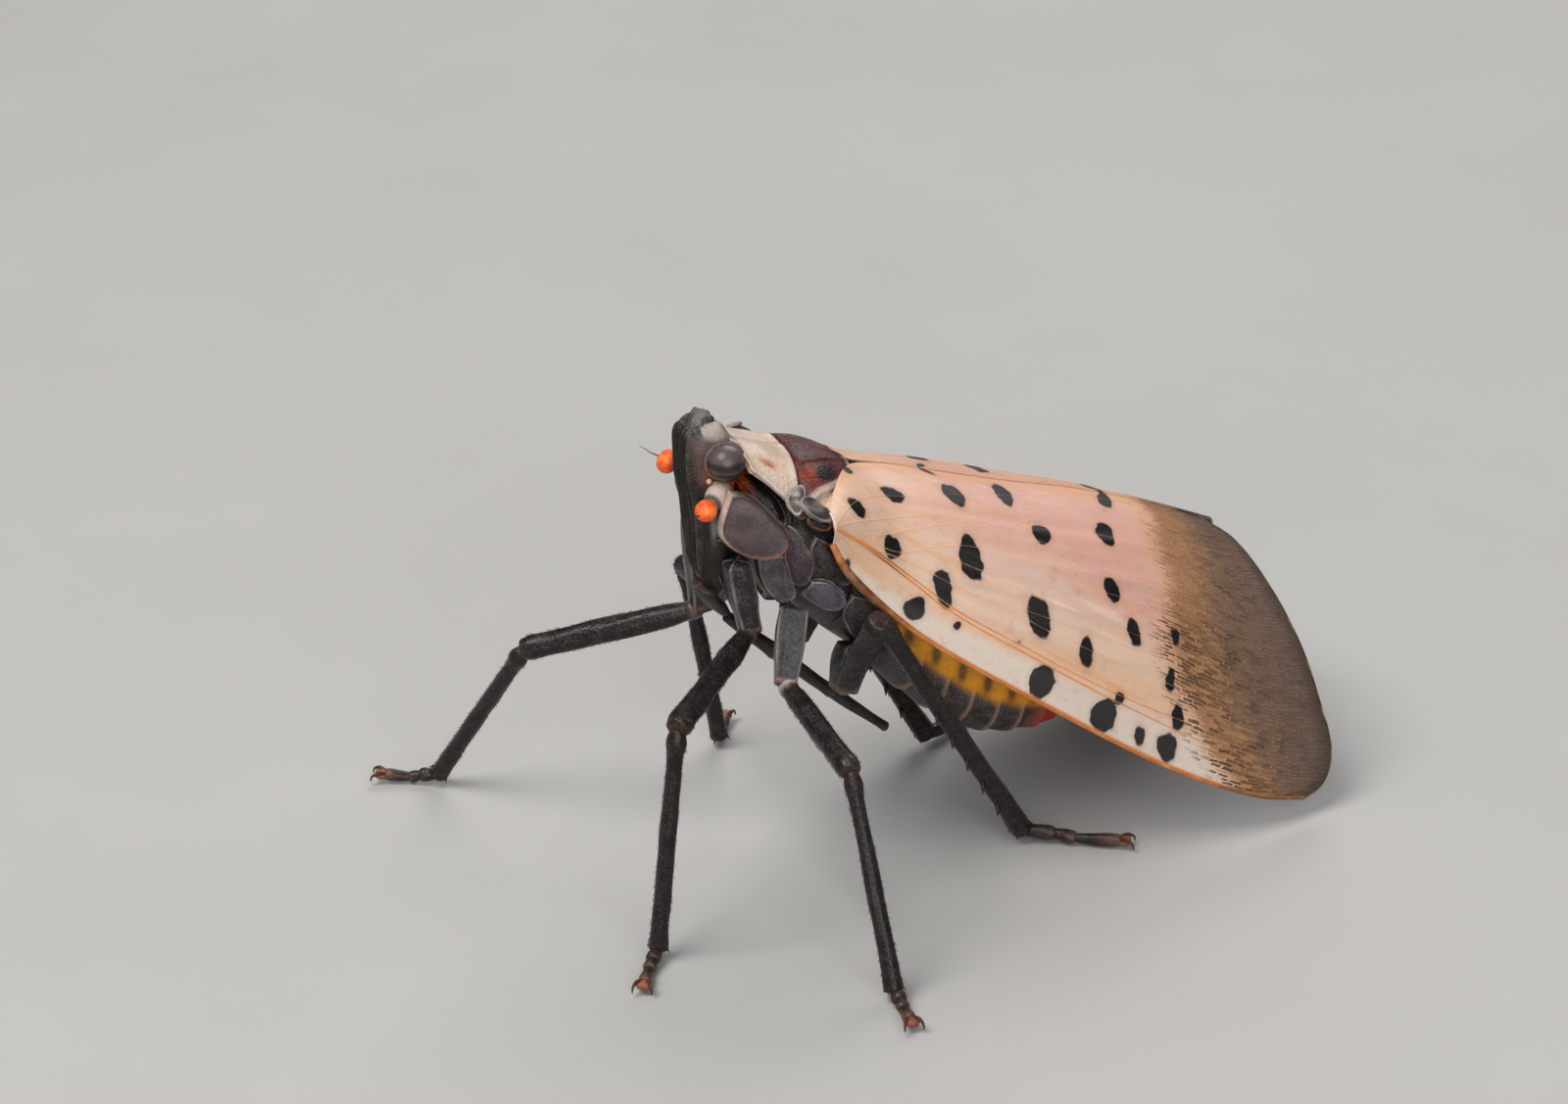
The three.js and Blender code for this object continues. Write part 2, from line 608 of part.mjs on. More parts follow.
const segments = ABDOMEN.flatMap((slice, i) => {
  const [topY, topZ, bottomY, bottomZ, half] = slice;
  const next = ABDOMEN[i + 1];
  if (!next) return [slice];
  const step = [
    (topY + next[0]) / 2, (topZ + next[1]) / 2, (bottomY + next[2]) / 2, (bottomZ + next[3]) / 2, (half + next[4]) / 2,
  ];
  const narrow = [step[0], step[1] - ABDOMEN_STEP, step[2], step[3] + ABDOMEN_STEP, step[4] - ABDOMEN_STEP];
  const edge = step.map((value, k) => THREE.MathUtils.lerp(value, slice[k], 0.15));
  return [[topY, topZ, bottomY, bottomZ, half], edge, narrow];
});
add('abdomen', carve(trunkLoft(segments), fatThorax[2]), 'abdomen');
add('abdomen_tip', carve(trunkLoft(ABDOMEN_TIP), trunkLoft(segments, GAP)), 'cuticle');

addPair('forewing', carve(forewing(), fatTegula, fatMesonotum, ...fatThorax), 'forewing');
addPair('hindwing', carve(hindwing(), ...fatThorax, trunkLoft(segments, GAP)), 'hindwing');

for (const name of Object.keys(LEGS)) {
  const solids = legSolids(name);
  solids.coxa = carve(solids.coxa, ...fatThorax, fatHead, ...bothSides(fatLobe));
  for (const [piece, geometry] of Object.entries(solids)) {
    add(`${piece}_${name}`, geometry, 'leg');
  }
}

const box = new THREE.Box3().setFromObject(insect);
const middle = box.getCenter(new THREE.Vector3());
insect.position.set(-middle.x, -middle.y, 0);

export default insect;
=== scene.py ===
"""Spotted lanternfly, adult, as a still life-size model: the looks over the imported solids.

Every shape is worked out in the insect's own frame, in millimetres: the midline is at x 0, the head
looks along -Y, the left side is +X and the feet stand at z 0. settle() puts a piece into the row's frame.
"""
import logging
import math
from dataclasses import dataclass
from enum import Enum
from typing import Any, Callable, Sequence

import bpy
import numpy as np
from mathutils import Matrix, Vector
from mathutils.kdtree import KDTree


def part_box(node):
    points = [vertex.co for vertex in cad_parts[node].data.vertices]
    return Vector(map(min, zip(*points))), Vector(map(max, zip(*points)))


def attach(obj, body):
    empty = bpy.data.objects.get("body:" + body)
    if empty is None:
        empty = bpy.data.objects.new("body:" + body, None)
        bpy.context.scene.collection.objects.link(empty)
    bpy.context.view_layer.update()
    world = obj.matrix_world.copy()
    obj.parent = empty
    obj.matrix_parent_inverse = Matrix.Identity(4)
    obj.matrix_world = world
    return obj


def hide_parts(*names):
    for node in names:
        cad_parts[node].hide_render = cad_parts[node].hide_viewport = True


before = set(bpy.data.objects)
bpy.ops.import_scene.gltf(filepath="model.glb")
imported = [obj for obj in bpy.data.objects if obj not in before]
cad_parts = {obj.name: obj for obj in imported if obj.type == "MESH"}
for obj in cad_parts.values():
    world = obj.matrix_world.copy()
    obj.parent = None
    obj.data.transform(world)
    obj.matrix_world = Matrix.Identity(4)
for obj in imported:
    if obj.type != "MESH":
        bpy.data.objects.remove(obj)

log = logging.getLogger("lanternfly")
MM = 0.001
ABDOMEN_END = 13.6          # where the abdomen ends behind, in the insect's frame
TWO_PI = 2 * math.pi
UP = np.array([0.0, 0.0, 1.0])
WING_LENGTH = 17.5          # from the forewing's root to its end
STRONG_VEIN = 0.04          # veins thicker than this are painted as the strong ones
GROUND = 0.05               # no vertex of a leg lies lower
FLOOR_SIZE = 4.0            # metres across

# In every place and paint function u and v run from 0 to 1 over the grid's two sides, and p holds places in mm.
Array = np.ndarray
Point = tuple[float, float, float]
Place = Callable[[Array, Array], Array]
Paint = dict[str, Array]
Layers = Callable[[Array, Array, Array], Paint]
Pairs = Sequence[tuple[float, float]]
Rows = Sequence[Sequence[float]]
Tone = tuple[int, int, int]
Piece = bpy.types.Object
Finish = bpy.types.Material
Skins = dict[str, Finish]
Socket = bpy.types.NodeSocket


class Side(Enum):
    """A side of the insect, with the sign of its x."""

    LEFT = 1
    RIGHT = -1

    @property
    def label(self) -> str:
        """The side's name as it stands in node names."""
        return self.name.lower()


def ink(red: int, green: int, blue: int) -> Array:
    """Turns a colour as it looks on paper, 0 to 255, into linear light."""
    value = np.array([red, green, blue]) / 255
    return np.where(value <= 0.04045, value / 12.92, ((value + 0.055) / 1.055) ** 2.4)


def unit(vectors: Array) -> Array:
    """Scales vectors to length one."""
    return vectors / np.maximum(np.linalg.norm(vectors, axis=-1, keepdims=True), 1e-9)


def ease(value: Array, low: float, high: float) -> Array:
    """Rises smoothly from 0 at low to 1 at high."""
    t = np.clip((value - low) / (high - low), 0, 1)
    return t * t * (3 - 2 * t)


def ridge(value: Array, middle: float, width: float) -> Array:
    """A round ridge of height one."""
    return np.exp(-(((value - middle) / width) ** 2))


def blend(share: Array, first: Array, second: Array) -> Array:
    """Mixes two colours, or two arrays of colours, by a share from 0 to 1.

    Args:
        share: one share for each vertex.
        first: the colour, or one for each vertex, at share 0.
        second: the same at share 1.

    Returns:
        One colour for each vertex.
    """
    return first * (1 - share[:, None]) + second * share[:, None]


def waves(points: Array, scale: float, seed: int) -> Array:
    """Soft irregular waves from about -1 to 1, the same on each run.

    Args:
        points: places in mm.
        scale: waves for each mm.
        seed: picks another set of waves.

    Returns:
        One value for each place.
    """
    rng = np.random.default_rng(seed)
    total = np.zeros(len(points))
    for _ in range(7):
        direction = unit(rng.normal(size=3)) * scale * rng.uniform(0.6, 1.6) * TWO_PI
        total += np.sin(points @ direction + rng.uniform(0, TWO_PI))
    return total / 3.2


class Route:
    """A smooth line through given stops, walked by its length from 0 to 1."""

    def __init__(self, stops: Rows, samples: int = 40) -> None:
        """Rounds the line through its stops.

        Args:
            stops: places on the line, of any number of values each.
            samples: steps between two stops.
        """
        p = np.array(stops, float)
        ends = np.vstack([2 * p[0] - p[1], p, 2 * p[-1] - p[-2]])
        parts = []
        for i in range(len(p) - 1):
            a, b, c, d = ends[i:i + 4]
            before, here, after = (max(float(np.dot(s, s)) ** 0.25, 1e-4) for s in (a - b, b - c, c - d))
            leave = ((b - a) / before - (c - a) / (before + here) + (c - b) / here) * here
            arrive = ((c - b) / here - (d - b) / (here + after) + (d - c) / after) * here
            t = np.linspace(0, 1, samples, endpoint=False)[:, None]
            parts.append(b + leave * t + (3 * (c - b) - 2 * leave - arrive) * t ** 2
                         + (2 * (b - c) + leave + arrive) * t ** 3)
        self.line = np.vstack(parts + [p[-1:]])
        length = np.r_[0, np.cumsum(np.linalg.norm(np.diff(self.line, axis=0), axis=1))]
        self.length = float(length[-1])
        self.share = length / self.length

    def at(self, t: Array) -> Array:
        """Places at shares of the length."""
        columns = [np.interp(t, self.share, self.line[:, k]) for k in range(self.line.shape[1])]
        return np.stack(columns, -1)

    def heading(self, t: Array) -> Array:
        """Directions of travel at shares of the length."""
        return unit(self.at(np.minimum(t + 0.01, 1)) - self.at(np.maximum(t - 0.01, 0)))


# Making meshes

def placement() -> Matrix:
    """Works out the move from the insect's frame into the row's, from the abdomen's own box.

    Returns:
        The move.
    """
    low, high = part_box("abdomen")
    shift = Vector(((low.x + high.x) / 2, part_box("abdomen_tip")[1].y - ABDOMEN_END * MM, 0.0))
    return Matrix.Translation(shift) @ Matrix.Scale(MM, 4)


ROW = placement()


def coordinates(piece: Piece) -> Array:
    """Reads a piece's vertices, one row each.

    Args:
        piece: the piece.

    Returns:
        The places.
    """
    values = np.empty(len(piece.data.vertices) * 3)
    piece.data.vertices.foreach_get("co", values)
    return values.reshape(-1, 3)


def paint(piece: Piece, layers: Paint) -> None:
    """Stores values on a piece's vertices: three columns as a colour, one column as a number.

    Args:
        piece: the piece.
        layers: the values of each layer, by name.
    """
    for name, values in layers.items():
        if values.ndim == 2:
            layer = piece.data.attributes.new(name, "FLOAT_COLOR", "POINT")
            layer.data.foreach_set("color", np.c_[values, np.ones(len(values))].ravel())
        else:
            layer = piece.data.attributes.new(name, "FLOAT", "POINT")
            layer.data.foreach_set("value", values)


def choose(piece: Piece) -> None:
    """Makes a piece the only selected and active one.

    Args:
        piece: the piece.
    """
    bpy.ops.object.select_all(action="DESELECT")
    piece.select_set(True)
    bpy.context.view_layer.objects.active = piece


def weld(piece: Piece, reach: float = 1e-4) -> None:
    """Merges vertices that lie on each other and turns the faces outwards.

    Args:
        piece: the piece.
        reach: how near, in mm, two vertices are one.
    """
    choose(piece)
    bpy.ops.object.mode_set(mode="EDIT")
    bpy.ops.mesh.select_all(action="SELECT")
    bpy.ops.mesh.remove_doubles(threshold=reach)
    bpy.ops.mesh.normals_make_consistent(inside=False)
    bpy.ops.object.mode_set(mode="OBJECT")


def lay(name: str, place: Place, rows: int, columns: int, layers: Layers | None = None,
        closed: bool = False) -> Piece:
    """Lays a grid over a surface.

    Args:
        name: the piece's name.
        place: gives the surface's places for arrays u and v from 0 to 1.
        rows: faces along u.
        columns: faces along v.
        layers: gives the paint for u, v and the places.
        closed: the grid's ends meet and are welded.

    Returns:
        The new piece, in the insect's frame.
    """
    bpy.ops.object.select_all(action="DESELECT")
    bpy.ops.mesh.primitive_grid_add(x_subdivisions=rows, y_subdivisions=columns, size=2.0)
    piece = bpy.context.active_object
    piece.name = piece.data.name = name
    flat = coordinates(piece)
    u, v = (flat[:, 0] + 1) / 2, (flat[:, 1] + 1) / 2
    places = place(u, v)
    piece.data.vertices.foreach_set("co", places.ravel())
    if layers:
        paint(piece, layers(u, v, places))
    piece.data.update()
    if closed:
        weld(piece)
    return piece


def face_towards(piece: Piece, way: Point) -> None:
    """Turns an open sheet's faces to look a given way.

    Args:
        piece: the sheet.
        way: the direction.
    """
    total = sum((Vector(face.normal) * face.area for face in piece.data.polygons), Vector())
    if total.dot(Vector(way)) < 0:
        piece.data.flip_normals()


def thicken(piece: Piece, wall: float, rounding: int = 0) -> None:
    """Gives a sheet a wall below its outer face, and rounds its rim by subdivision.

    Args:
        piece: the sheet.
        wall: the wall's thickness in mm.
        rounding: levels of subdivision.
    """
    choose(piece)
    solid = piece.modifiers.new("wall", "SOLIDIFY")
    solid.thickness, solid.offset = wall, -1.0
    bpy.ops.object.modifier_apply(modifier=solid.name)
    if rounding:
        soft = piece.modifiers.new("rounding", "SUBSURF")
        soft.levels = soft.render_levels = rounding
        bpy.ops.object.modifier_apply(modifier=soft.name)


def sheet(name: str, place: Place, rows: int, columns: int, layers: Layers, way: Point, wall: float,
          rounding: int = 0, closed: bool = False) -> Piece:
    """Lays a grid over a surface as lay does, turns it to look a given way and gives it a wall.

    Args:
        name: the piece's name.
        place: gives the surface's places.
        rows: faces along u.
        columns: faces along v.
        layers: gives the paint.
        way: where the sheet looks.
        wall: the wall's thickness in mm.
        rounding: levels of subdivision.
        closed: the grid's ends meet.

    Returns:
        The piece.
    """
    piece = lay(name, place, rows, columns, layers, closed)
    face_towards(piece, way)
    thicken(piece, wall, rounding)
    return piece


def join(name: str, pieces: Sequence[Piece]) -> Piece:
    """Joins pieces into the first one.

    Args:
        name: the joined piece's name.
        pieces: the pieces.

    Returns:
        The joined piece.
    """
    bpy.ops.object.select_all(action="DESELECT")
    for piece in pieces:
        piece.select_set(True)
    bpy.context.view_layer.objects.active = pieces[0]
    if len(pieces) > 1:
        bpy.ops.object.join()
    pieces[0].name = pieces[0].data.name = name
    return pieces[0]


def mirrored(piece: Piece, name: str) -> Piece:
    """Copies a piece of the left side to the right, with its own mesh.

    Args:
        piece: the piece.
        name: the copy's name.

    Returns:
        The copy.
    """
    twin = piece.copy()
    twin.data = piece.data.copy()
    twin.name = twin.data.name = name
    bpy.context.collection.objects.link(twin)
    twin.data.transform(Matrix.Scale(-1, 4, (1, 0, 0)))
    twin.data.flip_normals()
    return twin


def strands(name: str, lines: Sequence[Array], radii: Rows, sides: int = 0) -> Piece:
    """Makes thin tapering strands, such as veins and bristles, as one mesh.

    Args:
        name: the piece's name.
        lines: the places along each strand.
        radii: each strand's radius at the same places.
        sides: the roundness of a strand, 0 for four sides.

    Returns:
        The mesh of all strands.
    """
    curve = bpy.data.curves.new(name, "CURVE")
    curve.dimensions = "3D"
    curve.bevel_depth = 1.0
    curve.bevel_resolution = sides
    curve.use_fill_caps = True
    for line, radius in zip(lines, radii):
        spline = curve.splines.new("POLY")
        spline.points.add(len(line) - 1)
        spline.points.foreach_set("co", np.c_[line, np.ones(len(line))].ravel())
        spline.points.foreach_set("radius", np.array(radius, float))
    piece = bpy.data.objects.new(name, curve)
    bpy.context.collection.objects.link(piece)
    choose(piece)
    bpy.ops.object.convert(target="MESH")
    piece = bpy.context.active_object
    weld(piece, 1e-5)
    return piece


def settle(piece: Piece, finish: Finish, nodes: Sequence[str] = ()) -> None:
    """Args:
        piece: the piece, in the insect's frame.
        finish: its material.
        nodes: the solids that it replaces.
    """
    piece.data.transform(ROW)
    piece.data.materials.clear()
    piece.data.materials.append(finish)
    choose(piece)
    bpy.ops.object.shade_smooth()
    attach(piece, "root")
    if nodes:
        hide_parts(*nodes)
    log.info("%s: %d faces", piece.name, len(piece.data.polygons))


# Bodies of rings

class Rings:
    """A closed body of rings: each ring stands on a centre and reaches out by spokes."""

    caps: tuple[float, float] = (0.2, 0.2)
    share: float = 0.05

    def centre(self, t: Array) -> Array:
        """The middle of each ring."""
        raise NotImplementedError

    def spoke(self, t: Array, turn: Array) -> Array:
        """The way from a ring's middle to its skin, once round for turn 0 to 1."""
        raise NotImplementedError

    def heading(self, t: Array) -> Array:
        """The direction in which the body runs."""
        return unit(self.centre(np.minimum(t + 0.02, 1)) - self.centre(np.maximum(t - 0.02, 0)))

    def along(self, u: Array) -> Array:
        """The share of the body's length for a share of the grid."""
        return np.clip((u - self.share) / (1 - 2 * self.share), 0, 1)

    def place(self, u: Array, v: Array) -> Array:
        """The skin's places, with both ends rounded off.

        Args:
            u: shares of the grid's first side.
            v: shares of its second side.

        Returns:
            The places.
        """
        t = self.along(u)
        start = np.clip(1 - u / self.share, 0, 1)
        end = np.clip(1 - (1 - u) / self.share, 0, 1)
        shrink = np.cos(math.pi / 2 * (start + end))
        lift = self.caps[1] * np.sin(math.pi / 2 * end) - self.caps[0] * np.sin(math.pi / 2 * start)
        return self.centre(t) + self.spoke(t, v) * shrink[:, None] + self.heading(t) * lift[:, None]


def bend(value: Array, power: float) -> Array:
    """Squares up a cosine or sine for a ring with rounded corners."""
    return np.sign(value) * np.abs(value) ** (2 / power)


@dataclass
class Rod(Rings):
    """A rod along a route: a leg's part, a beak's part, a cup or a bulb."""

    route: Route
    radii: Pairs
    facing: Point = (0, 0, 1)
    wide: float = 1.0
    corners: float = 2.0
    keels: int = 0
    keel_height: float = 0.0
    twist: float = 0.0
    lumps: float = 0.05
    caps: tuple[float, float] = (0.12, 0.12)
    share: float = 0.08

    def centre(self, t: Array) -> Array:
        """The route itself."""
        return self.route.at(t)

    def radius(self, t: Array) -> Array:
        """The rod's radius along the route."""
        line = Route(self.radii).line
        return np.interp(t, line[:, 0], line[:, 1])

    def frame(self, t: Array) -> tuple[Array, Array]:
        """The two directions across the rod.

        Args:
            t: shares of the length.

        Returns:
            Both directions.
        """
        heading = self.route.heading(t)
        side = unit(np.cross(heading, np.array(self.facing, float)))
        return side, np.cross(side, heading)

    def spoke(self, t: Array, turn: Array) -> Array:
        """A ring with its corners and lengthwise keels.

        Args:
            t: shares of the length.
            turn: shares of a turn.

        Returns:
            The ways.
        """
        side, up = self.frame(t)
        angle = TWO_PI * turn
        radius = self.radius(t)
        if self.keels:
            crest = np.abs(np.cos(self.keels * (angle - self.twist) / 2))
            radius = radius + self.keel_height * crest ** 10
        spread = np.stack([np.cos(angle), np.sin(angle), t * self.route.length * 1.6], -1)
        radius = radius * (1 + self.lumps * waves(spread, 0.45, int(self.route.length * 40)))
        across = bend(np.cos(angle), self.corners) * radius * self.wide
        above = bend(np.sin(angle), self.corners) * radius
        return side * across[:, None] + up * above[:, None]


@dataclass
class Slabs(Rings):
    """A trunk of slices, each given as top y, top z, bottom y, bottom z and half width."""

    slices: Rows
    corners: float = 2.3
    caps: tuple[float, float] = (0.25, 0.25)
    share: float = 0.04

    def __post_init__(self) -> None:
        """Smooths the slices along the body."""
        self.run = Route(self.slices)

    def centre(self, t: Array) -> Array:
        """Halfway between top and bottom."""
        s = self.run.at(t)
        return np.stack([0 * t, (s[..., 0] + s[..., 2]) / 2, (s[..., 1] + s[..., 3]) / 2], -1)

    def spoke(self, t: Array, turn: Array) -> Array:
        """A rounded slice: turn 0 is the top and 0.25 the left side.

        Args:
            t: shares of the length.
            turn: shares of a turn.

        Returns:
            The ways.
        """
        s = self.run.at(t)
        angle = TWO_PI * turn
        up = bend(np.cos(angle), self.corners)
        out = bend(np.sin(angle), self.corners)
        return np.stack([s[..., 4] * out, (s[..., 0] - s[..., 2]) / 2 * up, (s[..., 1] - s[..., 3]) / 2 * up], -1)


@dataclass
class Plate:
    """A domed plate on the insect's left flank, drawn by its outline in y and z."""

    outline: Pairs
    stand: Callable[[Array, Array], Array]
    dome: float = 0.1
    rim: float = 0.05
    wall: float = 0.16
    rings: int = 22
    steps: int = 84
    rough: float = 0.0

    def place(self, u: Array, v: Array) -> Array:
        """The plate's outer face, from its middle out to its rim.

        Args:
            u: shares of the grid's first side.
            v: shares of its second side.

        Returns:
            The places.
        """
        closed = Route(list(self.outline) + [self.outline[0]])
        edge = closed.at(v)
        middle = closed.line.mean(0)
        flat = middle + (edge - middle) * u[:, None]
        lift = self.dome * (1 - u ** 2.2) + self.rim * ridge(u, 0.92, 0.06) - 0.5 * self.wall * ease(u, 0.95, 1.0)
        lump = waves(np.c_[0 * u, flat * 0.8], 1.0, len(self.outline)) + 0.6 * waves(np.c_[0 * u, flat], 2.6, 5)
        return np.stack([self.stand(flat[:, 0], flat[:, 1]) + lift + self.rough * lump, flat[:, 0], flat[:, 1]], -1)

    def build(self, name: str, layers: Layers) -> Piece:
        """Makes the plate with its wall."""
        return sheet(name, self.place, self.rings, self.steps, layers, (1, 0, 0), self.wall, closed=True)


def coat(count: int, tint: Array, dust: Array | float = 0.0, gloss: Array | float = 0.5) -> Paint:
    """The paint that every cuticle piece carries: its colour, its pale dust and its shine.

    Args:
        count: how many vertices.
        tint: linear colours, or one for all.
        dust: from 0 to 1.
        gloss: from 0 to 1.

    Returns:
        The three layers.
    """
    return {"tint": np.broadcast_to(tint, (count, 3)).copy(), "dust": np.broadcast_to(dust, count).astype(float),
            "gloss": np.broadcast_to(gloss, count).astype(float)}


# Finishes

class Sketch:
    """Adds nodes to a material's or a group's tree."""

    def __init__(self, tree: bpy.types.NodeTree) -> None:
        """Keeps the tree."""
        self.tree = tree

    def feed(self, node: bpy.types.Node, inputs: dict[str | int, Any]) -> None:
        """Links sockets to a node's inputs and sets its plain values.

        Args:
            node: the node that is fed.
            inputs: values or other nodes' sockets, by the input's name or number.
        """
        for key, value in inputs.items():
            if isinstance(value, bpy.types.NodeSocket):
                self.tree.links.new(value, node.inputs[key])
            else:
                node.inputs[key].default_value = value

    def node(self, kind: str, inputs: dict[str | int, Any] | None = None, **settings: Any) -> bpy.types.Node:
        """Adds a node.

        Args:
            kind: the node's type.
            inputs: values or other nodes' sockets for its inputs, by name or number.
            settings: the node's own properties.

        Returns:
            The node.
        """
        made = self.tree.nodes.new(kind)
        for key, value in settings.items():
            setattr(made, key, value)
        self.feed(made, inputs or {})
        return made

    def math(self, operation: str, values: Sequence[Any], clamp: bool = False) -> Socket:
        """Adds a sum of the given kind over numbers or sockets."""
        return self.node("ShaderNodeMath", dict(enumerate(values)), operation=operation, use_clamp=clamp).outputs[0]

    def plus(self, *values: Any, clamp: bool = False) -> Socket:
        """Adds one value to another."""
        return self.math("ADD", values, clamp)

    def less(self, *values: Any) -> Socket:
        """Takes one value from another."""
        return self.math("SUBTRACT", values)

    def times(self, *values: Any, clamp: bool = False) -> Socket:
        """Multiplies one value by another."""
        return self.math("MULTIPLY", values, clamp)

    def swing(self, value: Socket, size: Any) -> Socket:
        """Gives how far a value is from a half, times a size."""
        return self.times(self.less(value, 0.5), size)

    def mix(self, share: Any, first: Any, second: Any) -> Socket:
        """Mixes two colours."""
        return self.node("ShaderNodeMix", {0: share, 6: first, 7: second}, data_type="RGBA").outputs[2]

    def wash(self, base: Any, share: Socket, amount: float, tone: Tone) -> Socket:
        """Lays a colour over a base by an amount of a share."""
        return self.mix(self.times(share, amount), base, shade(*tone))

    def noise(self, vector: Socket, scale: Any, detail: float = 3.0, roughness: float = 0.55) -> Socket:
        """Adds a noise and gives its value."""
        inputs = {"Vector": vector, "Scale": scale, "Detail": detail, "Roughness": roughness}
        return self.node("ShaderNodeTexNoise", inputs).outputs["Fac"]

    def step(self, value: Socket, low: float, high: float) -> Socket:
        """Maps a value smoothly from between two limits to 0 to 1."""
        inputs = {"Value": value, "From Min": low, "From Max": high}
        return self.node("ShaderNodeMapRange", inputs, interpolation_type="SMOOTHSTEP").outputs[0]

    def layer(self, name: str, kind: str = "Fac") -> Socket:
        """Reads a painted layer."""
        return self.node("ShaderNodeAttribute", attribute_name=name).outputs[kind]

    def bump(self, shader: bpy.types.Node, height: Socket, strength: float, depth: float, invert: bool = False) -> None:
        """Presses a height, of a depth in mm, into the shader's normal."""
        inputs = {"Height": height, "Strength": strength, "Distance": depth * MM}
        self.feed(shader, {"Normal": self.node("ShaderNodeBump", inputs, invert=invert).outputs["Normal"]})


def shade(red: int, green: int, blue: int) -> tuple[float, float, float, float]:
    """Gives a colour from paper as the four linear numbers that sockets want."""
    return (*(float(part) for part in ink(red, green, blue)), 1.0)


def fresh(name: str) -> tuple[Finish, Sketch, bpy.types.Node, Socket]:
    """Starts a material.

    Args:
        name: the material's name.

    Returns:
        The material, its sketch, its shader and the Object coordinates.
    """
    finish = bpy.data.materials.new(name)
    finish.use_nodes = True
    sketch = Sketch(finish.node_tree)
    where = sketch.node("ShaderNodeTexCoord").outputs["Object"]
    return finish, sketch, finish.node_tree.nodes["Principled BSDF"], where


class Groups:
    """The effects that several finishes share."""

    @staticmethod
    def _new(name: str, inputs: Sequence[str], output: str) -> tuple[bpy.types.NodeTree, Sketch, Any, Any]:
        """Starts a group.

        Args:
            name: the group's name.
            inputs: the names of its inputs.
            output: the name of its output.

        Returns:
            The group, its sketch, its inputs' sockets inside it and its output's node.
        """
        tree = bpy.data.node_groups.new(name, "ShaderNodeTree")
        kinds = {"Color": "NodeSocketColor", "Vector": "NodeSocketVector"}
        for label, end in [(label, "INPUT") for label in inputs] + [(output, "OUTPUT")]:
            tree.interface.new_socket(name=label, in_out=end, socket_type=kinds.get(label, "NodeSocketFloat"))
        sketch = Sketch(tree)
        return tree, sketch, sketch.node("NodeGroupInput").outputs, sketch.node("NodeGroupOutput")

    @classmethod
    def mottle(cls) -> bpy.types.NodeTree:
        """A colour that grows lighter and darker in soft blotches and fine grains.

        Returns:
            The node group.
        """
        known = bpy.data.node_groups.get("mottle")
        if known:
            return known
        tree, sketch, given, end = cls._new("mottle", ["Color", "Vector", "Scale", "Amount"], "Color")
        blotch = sketch.noise(given["Vector"], given["Scale"], 5.0, 0.6)
        fine = sketch.noise(given["Vector"], sketch.times(given["Scale"], 7.0), 2.0, 0.6)
        both = sketch.plus(sketch.times(blotch, 0.65), sketch.times(fine, 0.35))
        gain = sketch.plus(sketch.times(sketch.swing(both, given["Amount"]), 4.0), 1.0)
        mixed = sketch.node("ShaderNodeVectorMath", {0: given["Color"], "Scale": gain}, operation="SCALE")
        sketch.feed(end, {"Color": mixed.outputs[0]})
        return tree

    @classmethod
    def relief(cls) -> bpy.types.NodeTree:
        """A height of fine grain, pits and soft lumps.

        Returns:
            The node group.
        """
        known = bpy.data.node_groups.get("relief")
        if known:
            return known
        tree, sketch, given, end = cls._new("relief", ["Vector", "Scale", "Pits"], "Height")
        grain = sketch.noise(given["Vector"], given["Scale"], 4.0, 0.65)
        cell = sketch.node("ShaderNodeTexVoronoi", {"Vector": given["Vector"], "Scale": given["Scale"]}, feature="F1")
        pit = sketch.step(cell.outputs["Distance"], 0.05, 0.45)
        sketch.feed(end, {"Height": sketch.plus(grain, sketch.times(pit, given["Pits"]))})
        return tree


@dataclass(frozen=True)
class Cuticle:
    """Hard skin that takes its colour, dust and shine from the paint on each piece."""

    name: str
    blotches: float = 1.4
    mottle: float = 0.35
    grain: float = 14.0
    relief: float = 0.012
    pits: float = 0.5
    rough: float = 0.62
    shine: float = 0.34
    mirror: float = 0.24
    dust: Tone = (128, 120, 116)

    def make(self) -> Finish:
        """Builds the material.

        Returns:
            The material.
        """
        finish, sketch, shader, where = fresh(self.name)
        mottle = sketch.node("ShaderNodeGroup", {
            "Color": sketch.layer("tint", "Color"), "Vector": where, "Scale": self.blotches / MM,
            "Amount": self.mottle}, node_tree=Groups.mottle())
        relief = sketch.node("ShaderNodeGroup", {"Vector": where, "Scale": self.grain / MM, "Pits": self.pits},
                             node_tree=Groups.relief())
        speck = sketch.noise(where, self.grain * 1.7 / MM, 3.0, 0.7)
        cloud = sketch.noise(where, self.blotches * 1.6 / MM, 3.0, 0.6)
        patch = sketch.times(sketch.step(speck, 0.42, 0.68), sketch.step(cloud, 0.3, 0.62))
        dusty = sketch.times(patch, sketch.layer("dust"), clamp=True)
        base = sketch.mix(dusty, mottle.outputs["Color"], shade(*self.dust))
        dull = sketch.less(self.rough, sketch.times(sketch.layer("gloss"), self.rough - self.shine))
        worn = sketch.plus(dull, sketch.swing(cloud, 0.25))
        rough = sketch.plus(worn, sketch.times(dusty, 0.2), clamp=True)
        sketch.bump(shader, relief.outputs["Height"], 1.0, self.relief)
        sketch.feed(shader, {"Base Color": base, "Roughness": rough, "Specular IOR Level": self.mirror})
        return finish


